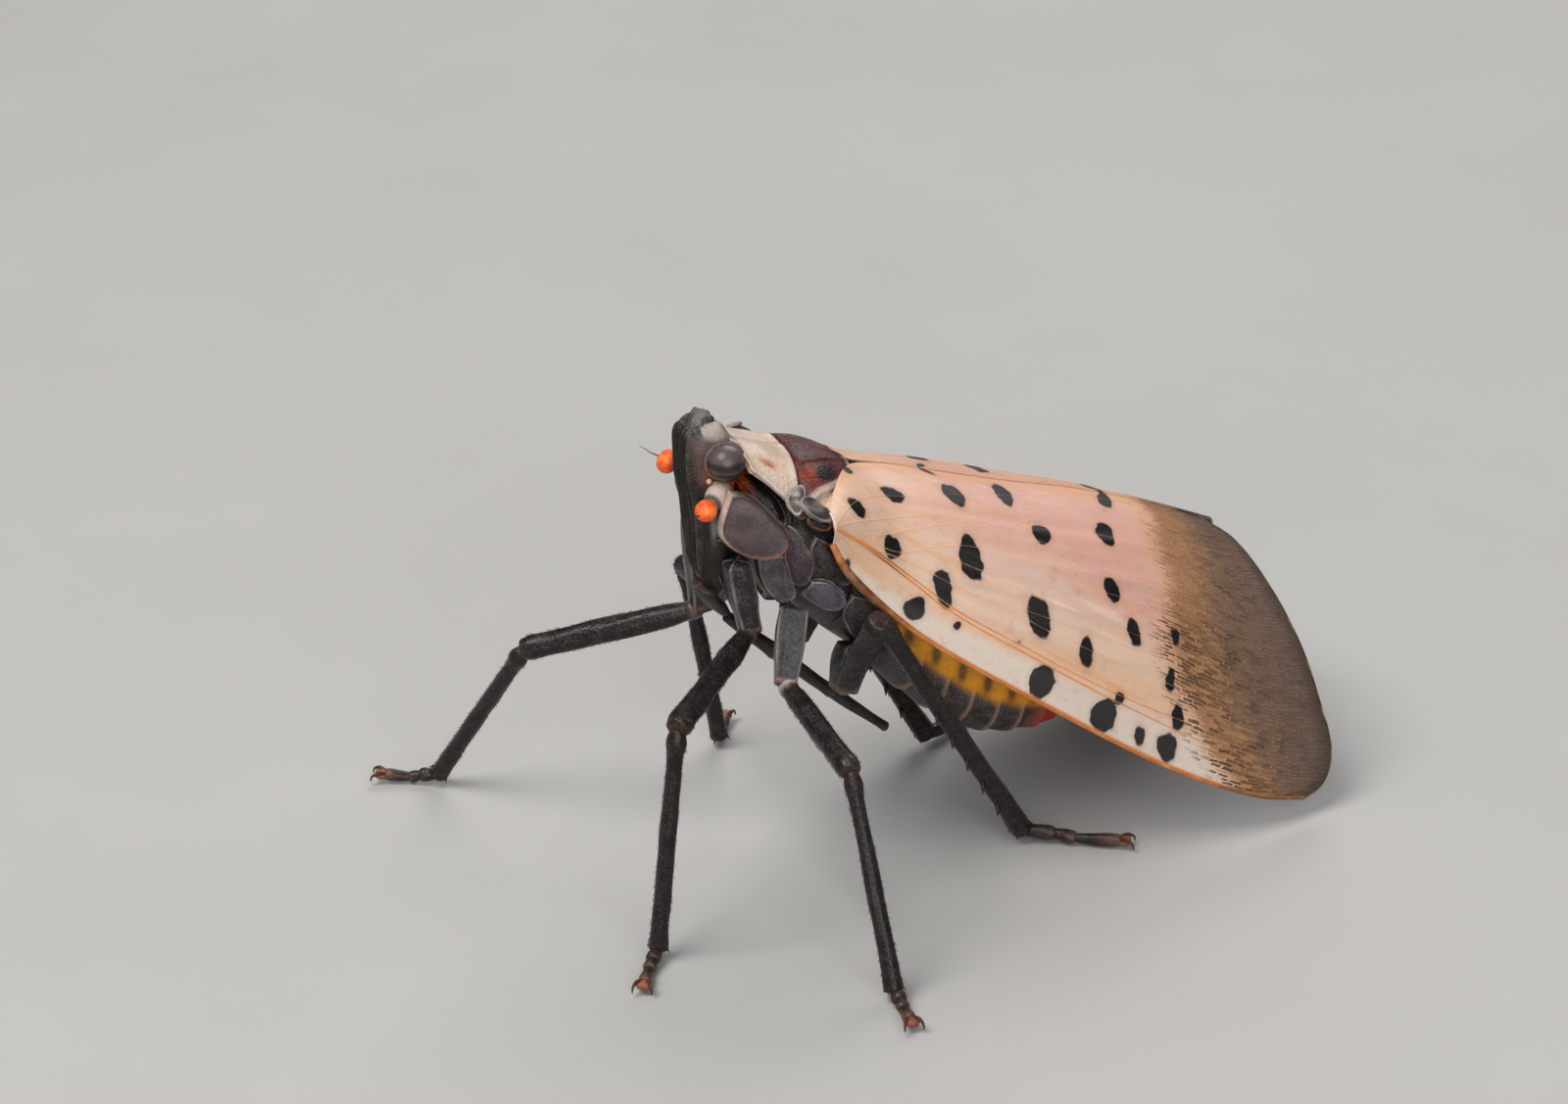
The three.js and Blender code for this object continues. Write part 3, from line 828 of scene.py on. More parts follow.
@dataclass(frozen=True)
class EyeGloss:
    """The grey-violet compound eye: faint darker bands and painted shade on its lower part under a clear shine, with
    fine facets.
    """

    name: str = "eye_facets"
    pale: Tone = (80, 68, 68)
    deep: Tone = (34, 25, 25)

    def make(self) -> Finish:
        """Builds the material.

        Returns:
            The material.
        """
        finish, sketch, shader, where = fresh(self.name)
        # The band layer carries the dark bands and the painted shade on the eye's lower part.
        stain = sketch.plus(sketch.layer("band"), sketch.times(sketch.noise(where, 2.2 / MM, 3.0), 0.5))
        base = sketch.mix(sketch.step(stain, 0.25, 1.05), shade(*self.pale), shade(*self.deep))
        facet = sketch.node("ShaderNodeTexVoronoi", {"Vector": where, "Scale": 26.0 / MM, "Randomness": 0.35})
        sketch.bump(shader, facet.outputs["Distance"], 0.55, 0.006, invert=True)
        sketch.feed(shader, {"Base Color": base, "Roughness": 0.38, "Specular IOR Level": 0.3, "Coat Weight": 0.2,
                             "Coat Roughness": 0.16})
        return finish


@dataclass(frozen=True)
class BulbGrain:
    """The bright orange antenna bulb, covered with fine round grains."""

    name: str = "antenna_orange"

    def make(self) -> Finish:
        """Builds the material.

        Returns:
            The material.
        """
        finish, sketch, shader, where = fresh(self.name)
        grain = sketch.node("ShaderNodeTexVoronoi", {"Vector": where, "Scale": 17.0 / MM, "Randomness": 0.8})
        top = sketch.step(grain.outputs["Distance"], 0.0, 0.6)
        tint = sketch.mix(top, shade(255, 112, 30), shade(226, 66, 8))
        base = sketch.mix(sketch.step(sketch.noise(where, 3.0 / MM), 0.4, 0.75), tint, shade(255, 140, 46))
        sketch.bump(shader, top, 0.9, 0.016, invert=True)
        sketch.feed(shader, {"Base Color": base, "Roughness": 0.5, "Subsurface Weight": 0.15,
                             "Subsurface Radius": (0.0003, 0.00012, 0.00005)})
        return finish


@dataclass(frozen=True)
class WingSkin:
    """The leathery forewing: cream and pink with tan streaks, black spots and the brown net of its end."""

    name: str = "forewing_skin"
    cream: Tone = (204, 174, 152)
    pink: Tone = (196, 150, 138)
    grey: Tone = (198, 186, 174)
    tan: Tone = (204, 146, 98)
    black: Tone = (13, 10, 10)
    net: Tone = (146, 110, 80)
    cell: Tone = (66, 47, 36)
    dusk: Tone = (94, 78, 71)
    edge: Tone = (186, 112, 52)

    def make(self) -> Finish:
        """Builds the material from the wing's painted layers.

        Returns:
            The material.
        """
        finish, sketch, shader, where = fresh(self.name)
        lie = sketch.layer("lie", "Vector")
        ash = sketch.layer("ash")
        stretched = sketch.node("ShaderNodeMapping", {"Vector": lie, "Scale": (0.16, 1.9, 1.0)}).outputs[0]
        streak = sketch.noise(stretched, 1.0, 5.0, 0.62)
        cloud = sketch.noise(where, 0.5 / MM, 3.0, 0.55)
        fine = sketch.noise(where, 16.0 / MM, 3.0, 0.7)

        # The pale part: cream and pink under streaks, a greyer front cell and small stains.
        glow = sketch.plus(sketch.layer("glow"), sketch.swing(cloud, 1.4), clamp=True)
        base = sketch.mix(glow, shade(*self.cream), shade(*self.pink))
        tan = sketch.plus(sketch.step(streak, 0.46, 0.74), sketch.layer("warm"), clamp=True)
        base = sketch.wash(base, tan, 0.7, self.tan)
        base = sketch.wash(base, sketch.step(streak, 0.42, 0.26), 0.6, (224, 202, 182))
        base = sketch.wash(base, ash, 0.8, self.grey)
        base = sketch.wash(base, sketch.step(fine, 0.5, 0.85), 0.4, (168, 138, 116))
        freckle = sketch.step(sketch.noise(where, 1.9 / MM, 5.0, 0.65), 0.54, 0.7)
        base = sketch.wash(base, freckle, 0.3, (178, 128, 100))

        # The brown end: a net of small dark cells whose border is torn.
        warp = sketch.node("ShaderNodeTexNoise", {"Vector": lie, "Scale": 2.2, "Detail": 2.0}).outputs["Color"]
        shifted = sketch.node("ShaderNodeVectorMath", {0: warp, 1: (0.5, 0.5, 0.5)}, operation="SUBTRACT").outputs[0]
        bent = sketch.node("ShaderNodeVectorMath", {0: shifted, 1: (0.5, 0.22, 0.0), 2: lie},
                           operation="MULTIPLY_ADD").outputs[0]
        brick = sketch.node("ShaderNodeTexBrick", {
            "Vector": bent, "Scale": 1.0, "Mortar Size": 0.027, "Mortar Smooth": 1.0, "Bias": 0.0,
            "Brick Width": 0.36, "Row Height": 0.125, "Color1": (0.3, 0.3, 0.3, 1), "Color2": (1, 1, 1, 1),
            "Mortar": (0, 0, 0, 1)}, offset=0.5)
        dark = sketch.times(sketch.less(1.0, brick.outputs["Fac"]), brick.outputs["Color"])
        apex = sketch.layer("apex")
        torn = sketch.plus(sketch.plus(apex, sketch.swing(cloud, 1.2)), sketch.swing(dark, 0.5))
        inside = sketch.step(torn, -0.25, 0.45)
        near = sketch.times(sketch.step(torn, -0.9, 0.1), sketch.step(torn, 2.2, 0.9))
        blotch = sketch.step(sketch.noise(bent, 1.7, 3.0, 0.6), 0.36, 0.66)
        filled = sketch.times(dark, sketch.plus(sketch.times(blotch, 0.8), 0.45), clamp=True)
        web = sketch.mix(filled, shade(*self.net), shade(*self.cell))
        web = sketch.wash(web, sketch.step(apex, 0.4, 4.2), 0.7, self.dusk)
        web = sketch.wash(web, sketch.layer("hem"), 0.6, (52, 42, 38))
        base = sketch.mix(inside, base, web)
        base = sketch.wash(base, near, 0.45, (186, 132, 88))
        dash = sketch.times(sketch.times(near, sketch.step(dark, 0.4, 0.85)), sketch.layer("low"))
        base = sketch.wash(base, dash, 0.75, (40, 30, 25))

        # The black spots and the orange front edge.
        lumps = sketch.swing(sketch.noise(where, 2.6 / MM, 1.0), 0.2)
        edge = sketch.plus(sketch.plus(sketch.layer("spot"), lumps), sketch.swing(fine, 0.03))
        inked = sketch.step(edge, 0.03, -0.03)
        fleck = sketch.step(sketch.noise(where, 7.0 / MM, 2.0), 0.56, 0.72)
        blot = sketch.wash(sketch.mix(fleck, shade(*self.black), shade(36, 25, 21)), ash, 0.8, (44, 41, 40))
        base = sketch.wash(base, sketch.step(edge, 0.2, 0.02), 0.22, (150, 104, 84))
        base = sketch.mix(inked, base, blot)
        base = sketch.wash(base, sketch.step(sketch.layer("rim"), 0.16, 0.05), 0.85, self.edge)

        height = sketch.plus(sketch.times(fine, 0.4), sketch.times(streak, 1.6))
        height = sketch.plus(height, sketch.times(sketch.times(brick.outputs["Fac"], inside), 1.3))
        height = sketch.plus(height, sketch.times(inked, 0.5))
        sketch.bump(shader, height, 0.9, 0.026)
        rough = sketch.plus(sketch.plus(0.3, sketch.times(fine, 0.3)), sketch.times(inside, 0.12))
        sketch.feed(shader, {"Base Color": base, "Roughness": rough, "Specular IOR Level": 0.3})
        return finish


@dataclass(frozen=True)
class VeinSkin:
    """Raised veins: orange-tan on the pale wing and brown in its end."""

    name: str = "forewing_veins"

    def make(self) -> Finish:
        """Builds the material.

        Returns:
            The material.
        """
        finish, sketch, shader, where = fresh(self.name)
        worn = sketch.step(sketch.noise(where, 2.0 / MM, 4.0), 0.45, 0.75)
        base = sketch.wash(sketch.layer("tint", "Color"), worn, 0.3, (226, 186, 140))
        sketch.feed(shader, {"Base Color": base, "Roughness": 0.42, "Specular IOR Level": 0.3})
        return finish


@dataclass(frozen=True)
class HindSkin:
    """The thin folded hindwing, mottled over its painted red, white and black and the painted shade along its folds."""

    name: str = "hindwing_skin"

    def make(self) -> Finish:
        """Builds the material.

        Returns:
            The material.
        """
        finish, sketch, shader, where = fresh(self.name)
        mottle = sketch.node("ShaderNodeGroup", {"Color": sketch.layer("tint", "Color"), "Vector": where,
                                                 "Scale": 2.0 / MM, "Amount": 0.3}, node_tree=Groups.mottle())
        sketch.bump(shader, sketch.noise(where, 12.0 / MM, 3.0), 0.6, 0.01)
        sketch.feed(shader, {"Base Color": mottle.outputs["Color"], "Roughness": 0.4})
        return finish


# The head

@dataclass
class HeadCapsule(Rings):
    """The upright head: a narrow face with lengthwise keels, cheeks beside it and a blunt peak."""

    levels: Rows = (
        (9.35, 0.5, 0.95, 0.55), (10.0, 0.3, 1.05, 0.76), (10.8, 0.2, 1.1, 0.92), (11.6, 0.1, 1.15, 1.02),
        (12.4, 0.0, 1.2, 1.08), (13.2, -0.1, 1.25, 1.12), (13.9, -0.15, 1.25, 1.1), (14.4, -0.15, 1.18, 1.0),
        (14.66, -0.06, 1.05, 0.88), (14.86, 0.16, 0.95, 0.66))
    keel_height: float = 0.085
    caps: tuple[float, float] = (0.18, 0.08)
    share: float = 0.05
    section: Pairs = (
        (0.0, 0.0), (0.2, 0.005), (0.42, 0.03), (0.6, 0.06), (0.67, 0.16), (0.76, 0.32), (0.93, 0.5),
        (1.04, 0.72), (0.98, 0.9), (0.6, 1.0), (0.3, 1.0), (0.0, 1.0))

    def __post_init__(self) -> None:
        """Smooths the levels and the section."""
        self.run = Route(self.levels)
        self.half_ring = Route(self.section)

    def centre(self, t: Array) -> Array:
        """Halfway between face and nape."""
        s = self.run.at(t)
        return np.stack([0 * t, (s[..., 1] + s[..., 2]) / 2, s[..., 0]], -1)

    def heading(self, t: Array) -> Array:
        """The head stands upright."""
        return np.stack([0 * t, 0 * t, 0 * t + 1.0], -1)

    def spoke(self, t: Array, turn: Array) -> Array:
        """A ring from the middle of the face (turn 0) round the left cheek to the nape (0.5) and back.

        Args:
            t: shares of the length.
            turn: shares of a turn.

        Returns:
            The ways.
        """
        s = self.run.at(t)
        side = np.where(turn <= 0.5, 1.0, -1.0)
        way = self.half_ring.at(np.where(turn <= 0.5, turn, 1 - turn) * 2)
        front, back, half = s[..., 1], s[..., 2], s[..., 3]
        across = way[..., 0] * half
        deep = front + way[..., 1] * (back - front)
        crest = (ridge(across, 0.0, 0.05) * 0.8 + ridge(across, 0.33 * half, 0.05)
                 + ridge(across, 0.58 * half, 0.06) * 1.4)
        rough = waves(np.stack([side * across, deep, s[..., 0] * 0.35], -1), 1.6, 4)
        deep = deep - self.keel_height * (crest + 0.45 * rough) * (way[..., 1] < 0.4) * ease(t, 0.0, 0.2)
        return np.stack([side * across, deep - (front + back) / 2, 0 * t], -1)

    def layers(self, u: Array, v: Array, p: Array) -> Paint:
        """Black face, purple-brown cheeks, orange skin behind the antenna and a pale crown.

        Args:
            u: shares of the grid's first side.
            v: shares of its second side, not used.
            p: the places in mm.

        Returns:
            The layers, by name.
        """
        across, y, z = np.abs(p[:, 0]), p[:, 1], p[:, 2]
        half = self.run.at(self.along(u))[:, 3]
        face = 1 - ease(across / half, 0.62, 0.7)
        face = np.where(y > 0.45, 0, face)
        tint = ink(84, 66, 64)
        tint = blend(ease(z, 13.35, 12.75), tint, ink(32, 24, 21))
        tint = blend(ridge(z, 12.95, 0.6) * ease(y, 0.5, 0.85), tint, ink(128, 60, 24))
        tint = blend(0.6 * ridge(z, 13.35, 0.2) * ease(y, 0.1, 0.3), tint, ink(118, 62, 36))
        # A painted highlight: the pale grey stripe down the ridge beside the face, below the antenna.
        tint = blend(0.7 * ridge(across / half, 0.86, 0.07) * ridge(z, 11.7, 0.5), tint, ink(132, 126, 122))
        tint = blend(face, tint, ink(15, 12, 11))
        tint = blend(0.45 * face * ease(waves(p * np.array([1, 1, 0.3]), 1.3, 2), 0.2, 1.0), tint, ink(62, 38, 28))
        crest = ridge(across, 0.6 * half, 0.06) * (y < 0.3)
        tint = blend(np.clip(crest, 0, 1) * 0.35, tint, ink(78, 62, 54))
        tint = blend(ease(z, 14.5, 14.75) * ease(y, 0.1, 0.3), tint, ink(150, 138, 132))
        tint = blend(ease(z, 14.4, 14.8) * (y < 0.3), tint, ink(46, 41, 39))
        dust = 0.08 + 0.25 * np.clip(crest, 0, 1) + 0.5 * ease(z, 14.3, 14.8)
        return coat(len(u), tint, dust, 0.4 + 0.45 * face)


@dataclass
class Head:
    """The head with its eyes, antennae, lower face and beak."""

    eye: Point = (1.24, 0.8, 13.96)
    eye_radius: float = 0.575
    cup_line: Sequence[Point] = ((0.98, 0.8, 13.02), (1.22, 0.56, 12.97), (1.5, 0.22, 12.86))
    bulb_left: Point = (1.74, -0.06, 12.77)
    bulb_right: Point = (-1.62, 0.06, 12.88)
    clypeus: Rows = (
        (0.98, 8.3, 1.38, 8.3, 0.3), (0.66, 8.65, 1.22, 8.65, 0.45), (0.38, 9.05, 0.95, 9.05, 0.56),
        (0.26, 9.3, 0.9, 9.3, 0.6))
    beak: Sequence[Point] = ((0, 1.3, 8.1), (0, 3.0, 6.45), (0, 4.8, 4.75), (0, 6.64, 3.1))

    def build(self, skins: Skins) -> None:
        """Makes and dresses every piece of the head.

        Args:
            skins: the finishes, by name.
        """
        capsule = HeadCapsule()
        pieces = [lay("head_skin", capsule.place, 150, 220, capsule.layers, closed=True), self.peak(), self.crown()]
        pieces += [self.eye_rim(side) for side in Side] + [self.ocellus(side) for side in Side]
        settle(join("head_skin", pieces), skins["face"], ["head"])
        settle(self.lower_face(), skins["face"], ["clypeus"])
        settle(self.rostrum(), skins["cuticle"], ["rostrum"])
        for side in Side:
            settle(self.eyeball(side), skins["eye"], [f"eye_{side.label}"])
            settle(self.cup(side), skins["cuticle"], [f"antenna_cup_{side.label}"])
            settle(self.bulb_ball(side), skins["bulb"], [f"antenna_bulb_{side.label}"])
            settle(self.bristle(side), skins["cuticle"])

    def peak(self) -> Piece:
        """The rough blunt knob in which the face ends above.

        Returns:
            The piece.
        """
        line = Route([(0, 0.44, 14.4), (0, 0.47, 14.8), (0, 0.54, 15.1)])
        knob = Rod(line, [(0, 0.5), (0.5, 0.43), (1, 0.34)], (0, 1, 0), corners=3.0, caps=(0.1, 0.08), share=0.2)

        def place(u: Array, v: Array) -> Array:
            """Roughens the knob and slants its top back."""
            p = knob.place(u, v)
            p[:, 2] -= 0.05 * ease(p[:, 2], 14.9, 15.15) * ridge(p[:, 0], 0, 0.15)
            rough = 0.05 * waves(p, 1.5, 5) + 0.03 * waves(p, 3.5, 6)
            return p + unit(p - np.array([0, 0.45, 14.8])) * rough[:, None]

        def layers(u: Array, v: Array, p: Array) -> Paint:
            """Grey and dusty, in lighter and darker blotches."""
            tint = blend(ease(waves(p, 1.1, 8), -0.7, 0.8), ink(38, 34, 32), ink(94, 90, 87))
            return coat(len(u), tint, 0.7, 0.5)

        return lay("peak", place, 40, 72, layers, closed=True)

    def crown(self) -> Piece:
        """The pale strip on top of the head between the eyes.

        Returns:
            The piece.
        """

        def place(u: Array, v: Array) -> Array:
            """A shallow saddle with raised side edges."""
            across = (v - 0.5) * 2
            y = 0.8 + 0.66 * u
            z = 14.58 - 0.28 * u + 0.06 * np.abs(across) ** 3 - 0.08 * ridge(across, 0, 0.5)
            return np.stack([across * (0.74 + 0.1 * u), y, z], -1)

        def layers(u: Array, v: Array, p: Array) -> Paint:
            """Pale grey-white on the raised side edges, darker in the hollow middle as painted shade."""
            edge = ease(np.abs(v - 0.5) * 2, 0.55, 0.95)
            # Painted shade: the hollow middle is dark and the raised side edges are pale.
            tint = blend(edge, ink(104, 90, 86), ink(176, 160, 152))
            return coat(len(u), tint, 0.4, 0.3)

        return sheet("crown", place, 24, 40, layers, (0, 0, 1), 0.16, 1)

    def eye_rim(self, side: Side) -> Piece:
        """The raised brown ring that holds an eye.

        Args:
            side: the side of the insect.

        Returns:
            The piece.
        """
        x, y, z = self.eye
        out = unit(np.array([0.92, -0.1, 0.1]))
        first = unit(np.cross(out, UP))
        second = np.cross(out, first)
        middle = np.array([x, y, z]) - out * 0.22

        def place(u: Array, v: Array) -> Array:
            """A ring of varying thickness."""
            a, b = TWO_PI * u, TWO_PI * v
            thick = 0.085 + 0.02 * np.sin(a * 2 + 1)
            reach = 0.545 + thick * np.cos(b)
            p = middle + (first * (reach * np.cos(a))[:, None] + second * (reach * np.sin(a))[:, None]
                          + out * (thick * np.sin(b))[:, None])
            return p * np.array([side.value, 1, 1])

        def layers(u: Array, v: Array, p: Array) -> Paint:
            """Orange-brown below and behind, purple-brown in front."""
            low = ease(p[:, 2], z + 0.1, z - 0.5)
            return coat(len(u), blend(low, ink(96, 78, 74), ink(150, 82, 40)), 0.1, 0.5)

        return lay("eye_rim", place, 72, 14, layers, closed=True)

    def ocellus(self, side: Side) -> Piece:
        """The pale bead in front of the antenna.

        Args:
            side: the side of the insect.

        Returns:
            The piece.
        """
        x, y, z = 1.1 * side.value, 0.3, 13.38

        def place(u: Array, v: Array) -> Array:
            """A small ball."""
            a, b = math.pi * u, TWO_PI * v
            r = 0.085
            return np.stack([x + r * np.sin(a) * np.cos(b), y + r * np.sin(a) * np.sin(b), z + r * np.cos(a)], -1)

        return lay("ocellus", place, 12, 18, lambda u, v, p: coat(len(u), ink(196, 160, 132), 0.0, 1.0), closed=True)

    def eyeball(self, side: Side) -> Piece:
        """The globe of an eye, a little flattened, with its dark bands painted.

        Args:
            side: the side of the insect.

        Returns:
            The piece.
        """
        x, y, z = self.eye

        def place(u: Array, v: Array) -> Array:
            """A ball with its poles left and right."""
            a, b = math.pi * u, TWO_PI * v
            r = self.eye_radius
            return np.stack([side.value * (x + 0.98 * r * np.cos(a)), y + r * np.sin(a) * np.cos(b),
                             z + 0.97 * r * np.sin(a) * np.sin(b)], -1)

        def layers(u: Array, v: Array, p: Array) -> Paint:
            """Two darker bands across the middle, and painted shade that darkens the lower part."""
            height = (p[:, 2] - z) / self.eye_radius
            # The last term is painted shade: the eye grows darker towards its bottom.
            band = ridge(height, 0.08, 0.2) + 0.7 * ridge(height, -0.38, 0.14) + ease(height, -0.4, -0.9)
            return {"band": np.clip(band, 0, 1)}

        return lay(f"eye_ball_{side.label}", place, 64, 96, layers, closed=True)

    def cup(self, side: Side) -> Piece:
        """The grey-tan foot of an antenna with its dark ring.

        Args:
            side: the side of the insect.

        Returns:
            The piece.
        """
        line = Route([(side.value * x, y, z) for x, y, z in self.cup_line])
        rod = Rod(line, [(0, 0.3), (0.2, 0.37), (0.6, 0.36), (0.86, 0.31), (1, 0.24)], caps=(0.05, 0.04), share=0.1)

        def layers(u: Array, v: Array, p: Array) -> Paint:
            """Tan, greyer towards the tip, with a dark ring before the bulb."""
            tint = blend(ease(u, 0.2, 0.7), ink(150, 122, 104), ink(176, 160, 148))
            tint = blend(np.clip(ridge(u, 0.9, 0.07), 0, 1), tint, ink(70, 60, 58))
            tint = blend(ease(u, 0.2, 0.02), tint, ink(84, 50, 34))
            return coat(len(u), tint, 0.15, 0.55)

        return lay(f"antenna_foot_{side.label}", rod.place, 48, 56, layers, closed=True)

    def bulb_ball(self, side: Side) -> Piece:
        """The orange bulb, a short egg with a flattened end.

        Args:
            side: the side of the insect.

        Returns:
            The piece.
        """
        left = side is Side.LEFT
        middle = np.array(self.bulb_left if left else self.bulb_right)
        axis = unit(np.array([0.62, -0.76, -0.2]) if left else np.array([-0.4, -0.3, -0.86]))
        size = 0.33 if left else 0.4
        first = unit(np.cross(axis, UP))
        second = np.cross(axis, first)

        def place(u: Array, v: Array) -> Array:
            """An egg along the antenna's axis."""
            a, b = math.pi * u, TWO_PI * v
            reach = np.sin(a) ** 0.86
            return middle + (axis * (-size * np.cos(a))[:, None] + first * (0.33 * reach * np.cos(b))[:, None]
                             + second * (0.33 * reach * np.sin(b))[:, None])

        return lay(f"antenna_bulb_skin_{side.label}", place, 48, 64, None, closed=True)

    def bristle(self, side: Side) -> Piece:
        """The hair-thin end of an antenna.

        Args:
            side: the side of the insect.

        Returns:
            The piece.
        """
        if side is Side.LEFT:
            stops = [(1.88, -0.3, 12.72), (2.02, -0.5, 12.8), (2.2, -0.65, 12.95), (2.32, -0.8, 13.2)]
        else:
            stops = [(-1.75, -0.1, 13.0), (-1.95, -0.35, 13.1), (-2.1, -0.5, 13.2), (-2.25, -0.62, 13.25)]
        line = Route(stops).at(np.linspace(0, 1, 14))
        radius = np.linspace(0.026, 0.006, 14) + 0.03 * np.r_[1, np.zeros(13)]
        piece = strands(f"antenna_hair_{side.label}", [line], [radius], 2)
        paint(piece, coat(len(piece.data.vertices), ink(60, 44, 36), 0.0, 0.4))
        return piece

    def lower_face(self) -> Piece:
        """The clypeus: a keeled wedge under the face that leads into the beak.

        Returns:
            The piece.
        """
        body = Slabs(self.clypeus, caps=(0.1, 0.1))

        def place(u: Array, v: Array) -> Array:
            """The wedge with a keel in front."""
            t = body.along(u)
            p = body.place(u, v)
            p[:, 1] -= 0.06 * ridge(p[:, 0], 0, 0.07) * (np.cos(TWO_PI * v) > 0) * ease(t, 0, 0.3)
            return p

        def layers(u: Array, v: Array, p: Array) -> Paint:
            """Dark brown, paler on the keel."""
            keel = ridge(p[:, 0], 0, 0.09) * (p[:, 1] < 0.7)
            return coat(len(u), blend(keel * 0.5, ink(40, 30, 26), ink(96, 72, 56)), 0.3, 0.5)

        return lay("lower_face", place, 60, 96, layers, closed=True)

    def rostrum(self) -> Piece:
        """The beak between the legs: three joints, a groove along the front and a blunt tip.

        Returns:
            The piece.
        """
        line = Route(self.beak)
        parts = []
        for index, (start, end, first, last) in enumerate(((0.0, 0.3, 0.2, 0.24), (0.29, 0.66, 0.24, 0.2),
                                                            (0.65, 1.0, 0.2, 0.15))):
            stretch = Route(line.at(np.linspace(start, end, 8)))
            rod = Rod(stretch, [(0, first * 0.9), (0.12, first), (0.85, last), (1, last * 1.12)], (0, 1, 0),
                      caps=(0.05, 0.06), keels=2, keel_height=0.02)
            parts.append(lay(f"beak_{index}", rod.place, 44, 40,
                             lambda u, v, p: coat(len(u), blend(ridge(u, 0.95, 0.06), ink(34, 27, 24), ink(92, 62, 44)),
                                                  0.25, 0.6), closed=True))
        return join("beak", parts)


# The thorax and its plates

@dataclass
class Thorax:
    """The trunk between head and abdomen, with the plates of its back and flanks."""

    slices: Rows = (
        (1.62, 13.35, 1.2, 11.0, 1.5), (2.1, 13.2, 1.55, 10.5, 1.85), (2.68, 13.0, 2.05, 9.9, 2.0),
        (3.02, 12.85, 2.38, 9.45, 2.3), (3.8, 12.5, 3.05, 8.6, 2.5), (4.6, 12.1, 3.75, 7.9, 2.45),
        (4.95, 11.8, 4.05, 7.55, 2.35), (5.6, 11.3, 4.8, 6.9, 2.4), (6.25, 10.8, 5.5, 6.2, 2.25))
    lobe: Pairs = (
        (0.66, 13.28), (1.05, 13.24), (1.5, 12.85), (1.9, 12.35), (2.24, 11.9), (2.3, 11.4), (2.0, 11.02),
        (1.5, 10.98), (0.95, 11.2), (0.5, 11.6), (0.32, 12.0), (0.42, 12.6))

    def __post_init__(self) -> None:
        """Samples the trunk's left flank, so that plates can lie on it."""
        self.body = Slabs(self.slices)
        t, turn = (a.ravel() for a in np.meshgrid(np.linspace(0, 1, 220), np.linspace(0.06, 0.46, 120)))
        flank = self.body.centre(t) + self.body.spoke(t, turn)
        self.tree = KDTree(len(flank))
        for index, (_, y, z) in enumerate(flank):
            self.tree.insert((0.0, y, z), index)
        self.tree.balance()
        self.flank = flank[:, 0]

    def hug(self, lift: float) -> Callable[[Array, Array], Array]:
        """Gives the x of the flank under y and z, raised a little.

        Args:
            lift: how far it is raised in mm.

        Returns:
            The function of y and z.
        """

        def stand(y: Array, z: Array) -> Array:
            """The mean of the nearest samples."""
            found = [self.tree.find_n((0.0, a, b), 4) for a, b in zip(y, z)]
            return np.array([np.mean([self.flank[index] for _, index, _ in near]) for near in found]) + lift

        return stand

    def build(self, skins: Skins) -> None:
        """Makes and dresses the trunk and all its plates.

        Args:
            skins: the finishes, by name.
        """
        settle(self.trunk(), skins["flank"], ["prothorax", "mesothorax", "metathorax"])
        settle(self.pronotum(), skins["pale"], ["pronotum"])
        settle(self.mesonotum(), skins["flank"], ["mesonotum"])
        lobe = self.side_lobe()
        flank = self.flank_plates()
        tegula = self.tegula()
        for label, piece, slot, node in (("side_lobe_skin", lobe, "side_lobe", "side_lobe"),
                                         ("flank_plates", flank, "cuticle", ""),
                                         ("tegula_skin", tegula, "cuticle", "tegula")):
            twin = mirrored(piece, f"{label}_right")
            piece.name = piece.data.name = f"{label}_left"
            for side, made in ((Side.LEFT, piece), (Side.RIGHT, twin)):
                settle(made, skins["flank"], [f"{node}_{side.label}"] if node else [])

    def trunk(self) -> Piece:
        """The dark skin of the trunk with its seams pressed in.

        Returns:
            The piece.
        """

        def place(u: Array, v: Array) -> Array:
            """Adds the seams between the segments."""
            p = self.body.place(u, v)
            t = self.body.along(u)
            seam = ridge(t, 0.27, 0.018) + ridge(t, 0.7, 0.018)
            centre = self.body.centre(t)
            return p - unit(p - centre) * (0.1 * seam + 0.03 * waves(p, 0.6, 3) * ease(u, 0.03, 0.1))[:, None]

        def layers(u: Array, v: Array, p: Array) -> Paint:
            """Black-brown with grey dust, orange skin behind the eye."""
            tint = ink(30, 24, 22)
            orange = ease(p[:, 1], 1.7, 1.2) * ease(p[:, 2], 12.3, 13.0)
            tint = blend(orange, tint, ink(140, 66, 28))
            tint = blend(ease(p[:, 1], 4.5, 6.0) * ease(p[:, 2], 8.5, 7.5), tint, ink(96, 84, 76))
            return coat(len(u), tint, 0.4, 0.5)

        return lay("trunk_skin", place, 150, 150, layers, closed=True)

    def pronotum(self) -> Piece:
        """The cream collar plate behind the head.

        Returns:
            The piece.
        """

        def place(u: Array, v: Array) -> Array:
            """An arched plate whose side edges slope down and back."""
            a = (v - 0.5) * 2
            half = 1.72 + 0.8 * u
            drop = 0.42 + 0.66 * u ** 1.2
            y = 1.3 + 0.14 * a ** 2 + u * (1.8 - 0.62 * np.abs(a) ** 2.4)
            z = 14.25 - 0.62 * u - drop * np.abs(a) ** 2.5
            groove = 0.05 * ridge(a, 0, 0.05) * ease(u, 0.1, 0.4)
            groove = groove + 0.07 * ridge(np.hypot((a - 0.62) * 2.1, u - 0.5), 0, 0.16)
            groove = groove + 0.07 * ridge(np.hypot((a + 0.62) * 2.1, u - 0.5), 0, 0.16)
            edge = np.maximum(ridge(np.abs(a), 0.96, 0.05), np.maximum(ridge(u, 0.04, 0.04), ridge(u, 0.95, 0.05)))
            rough = 0.02 * waves(np.stack([a * half, y, z], -1), 1.3, 12)
            return np.stack([a * half, y, z - groove + 0.05 * edge + rough], -1)

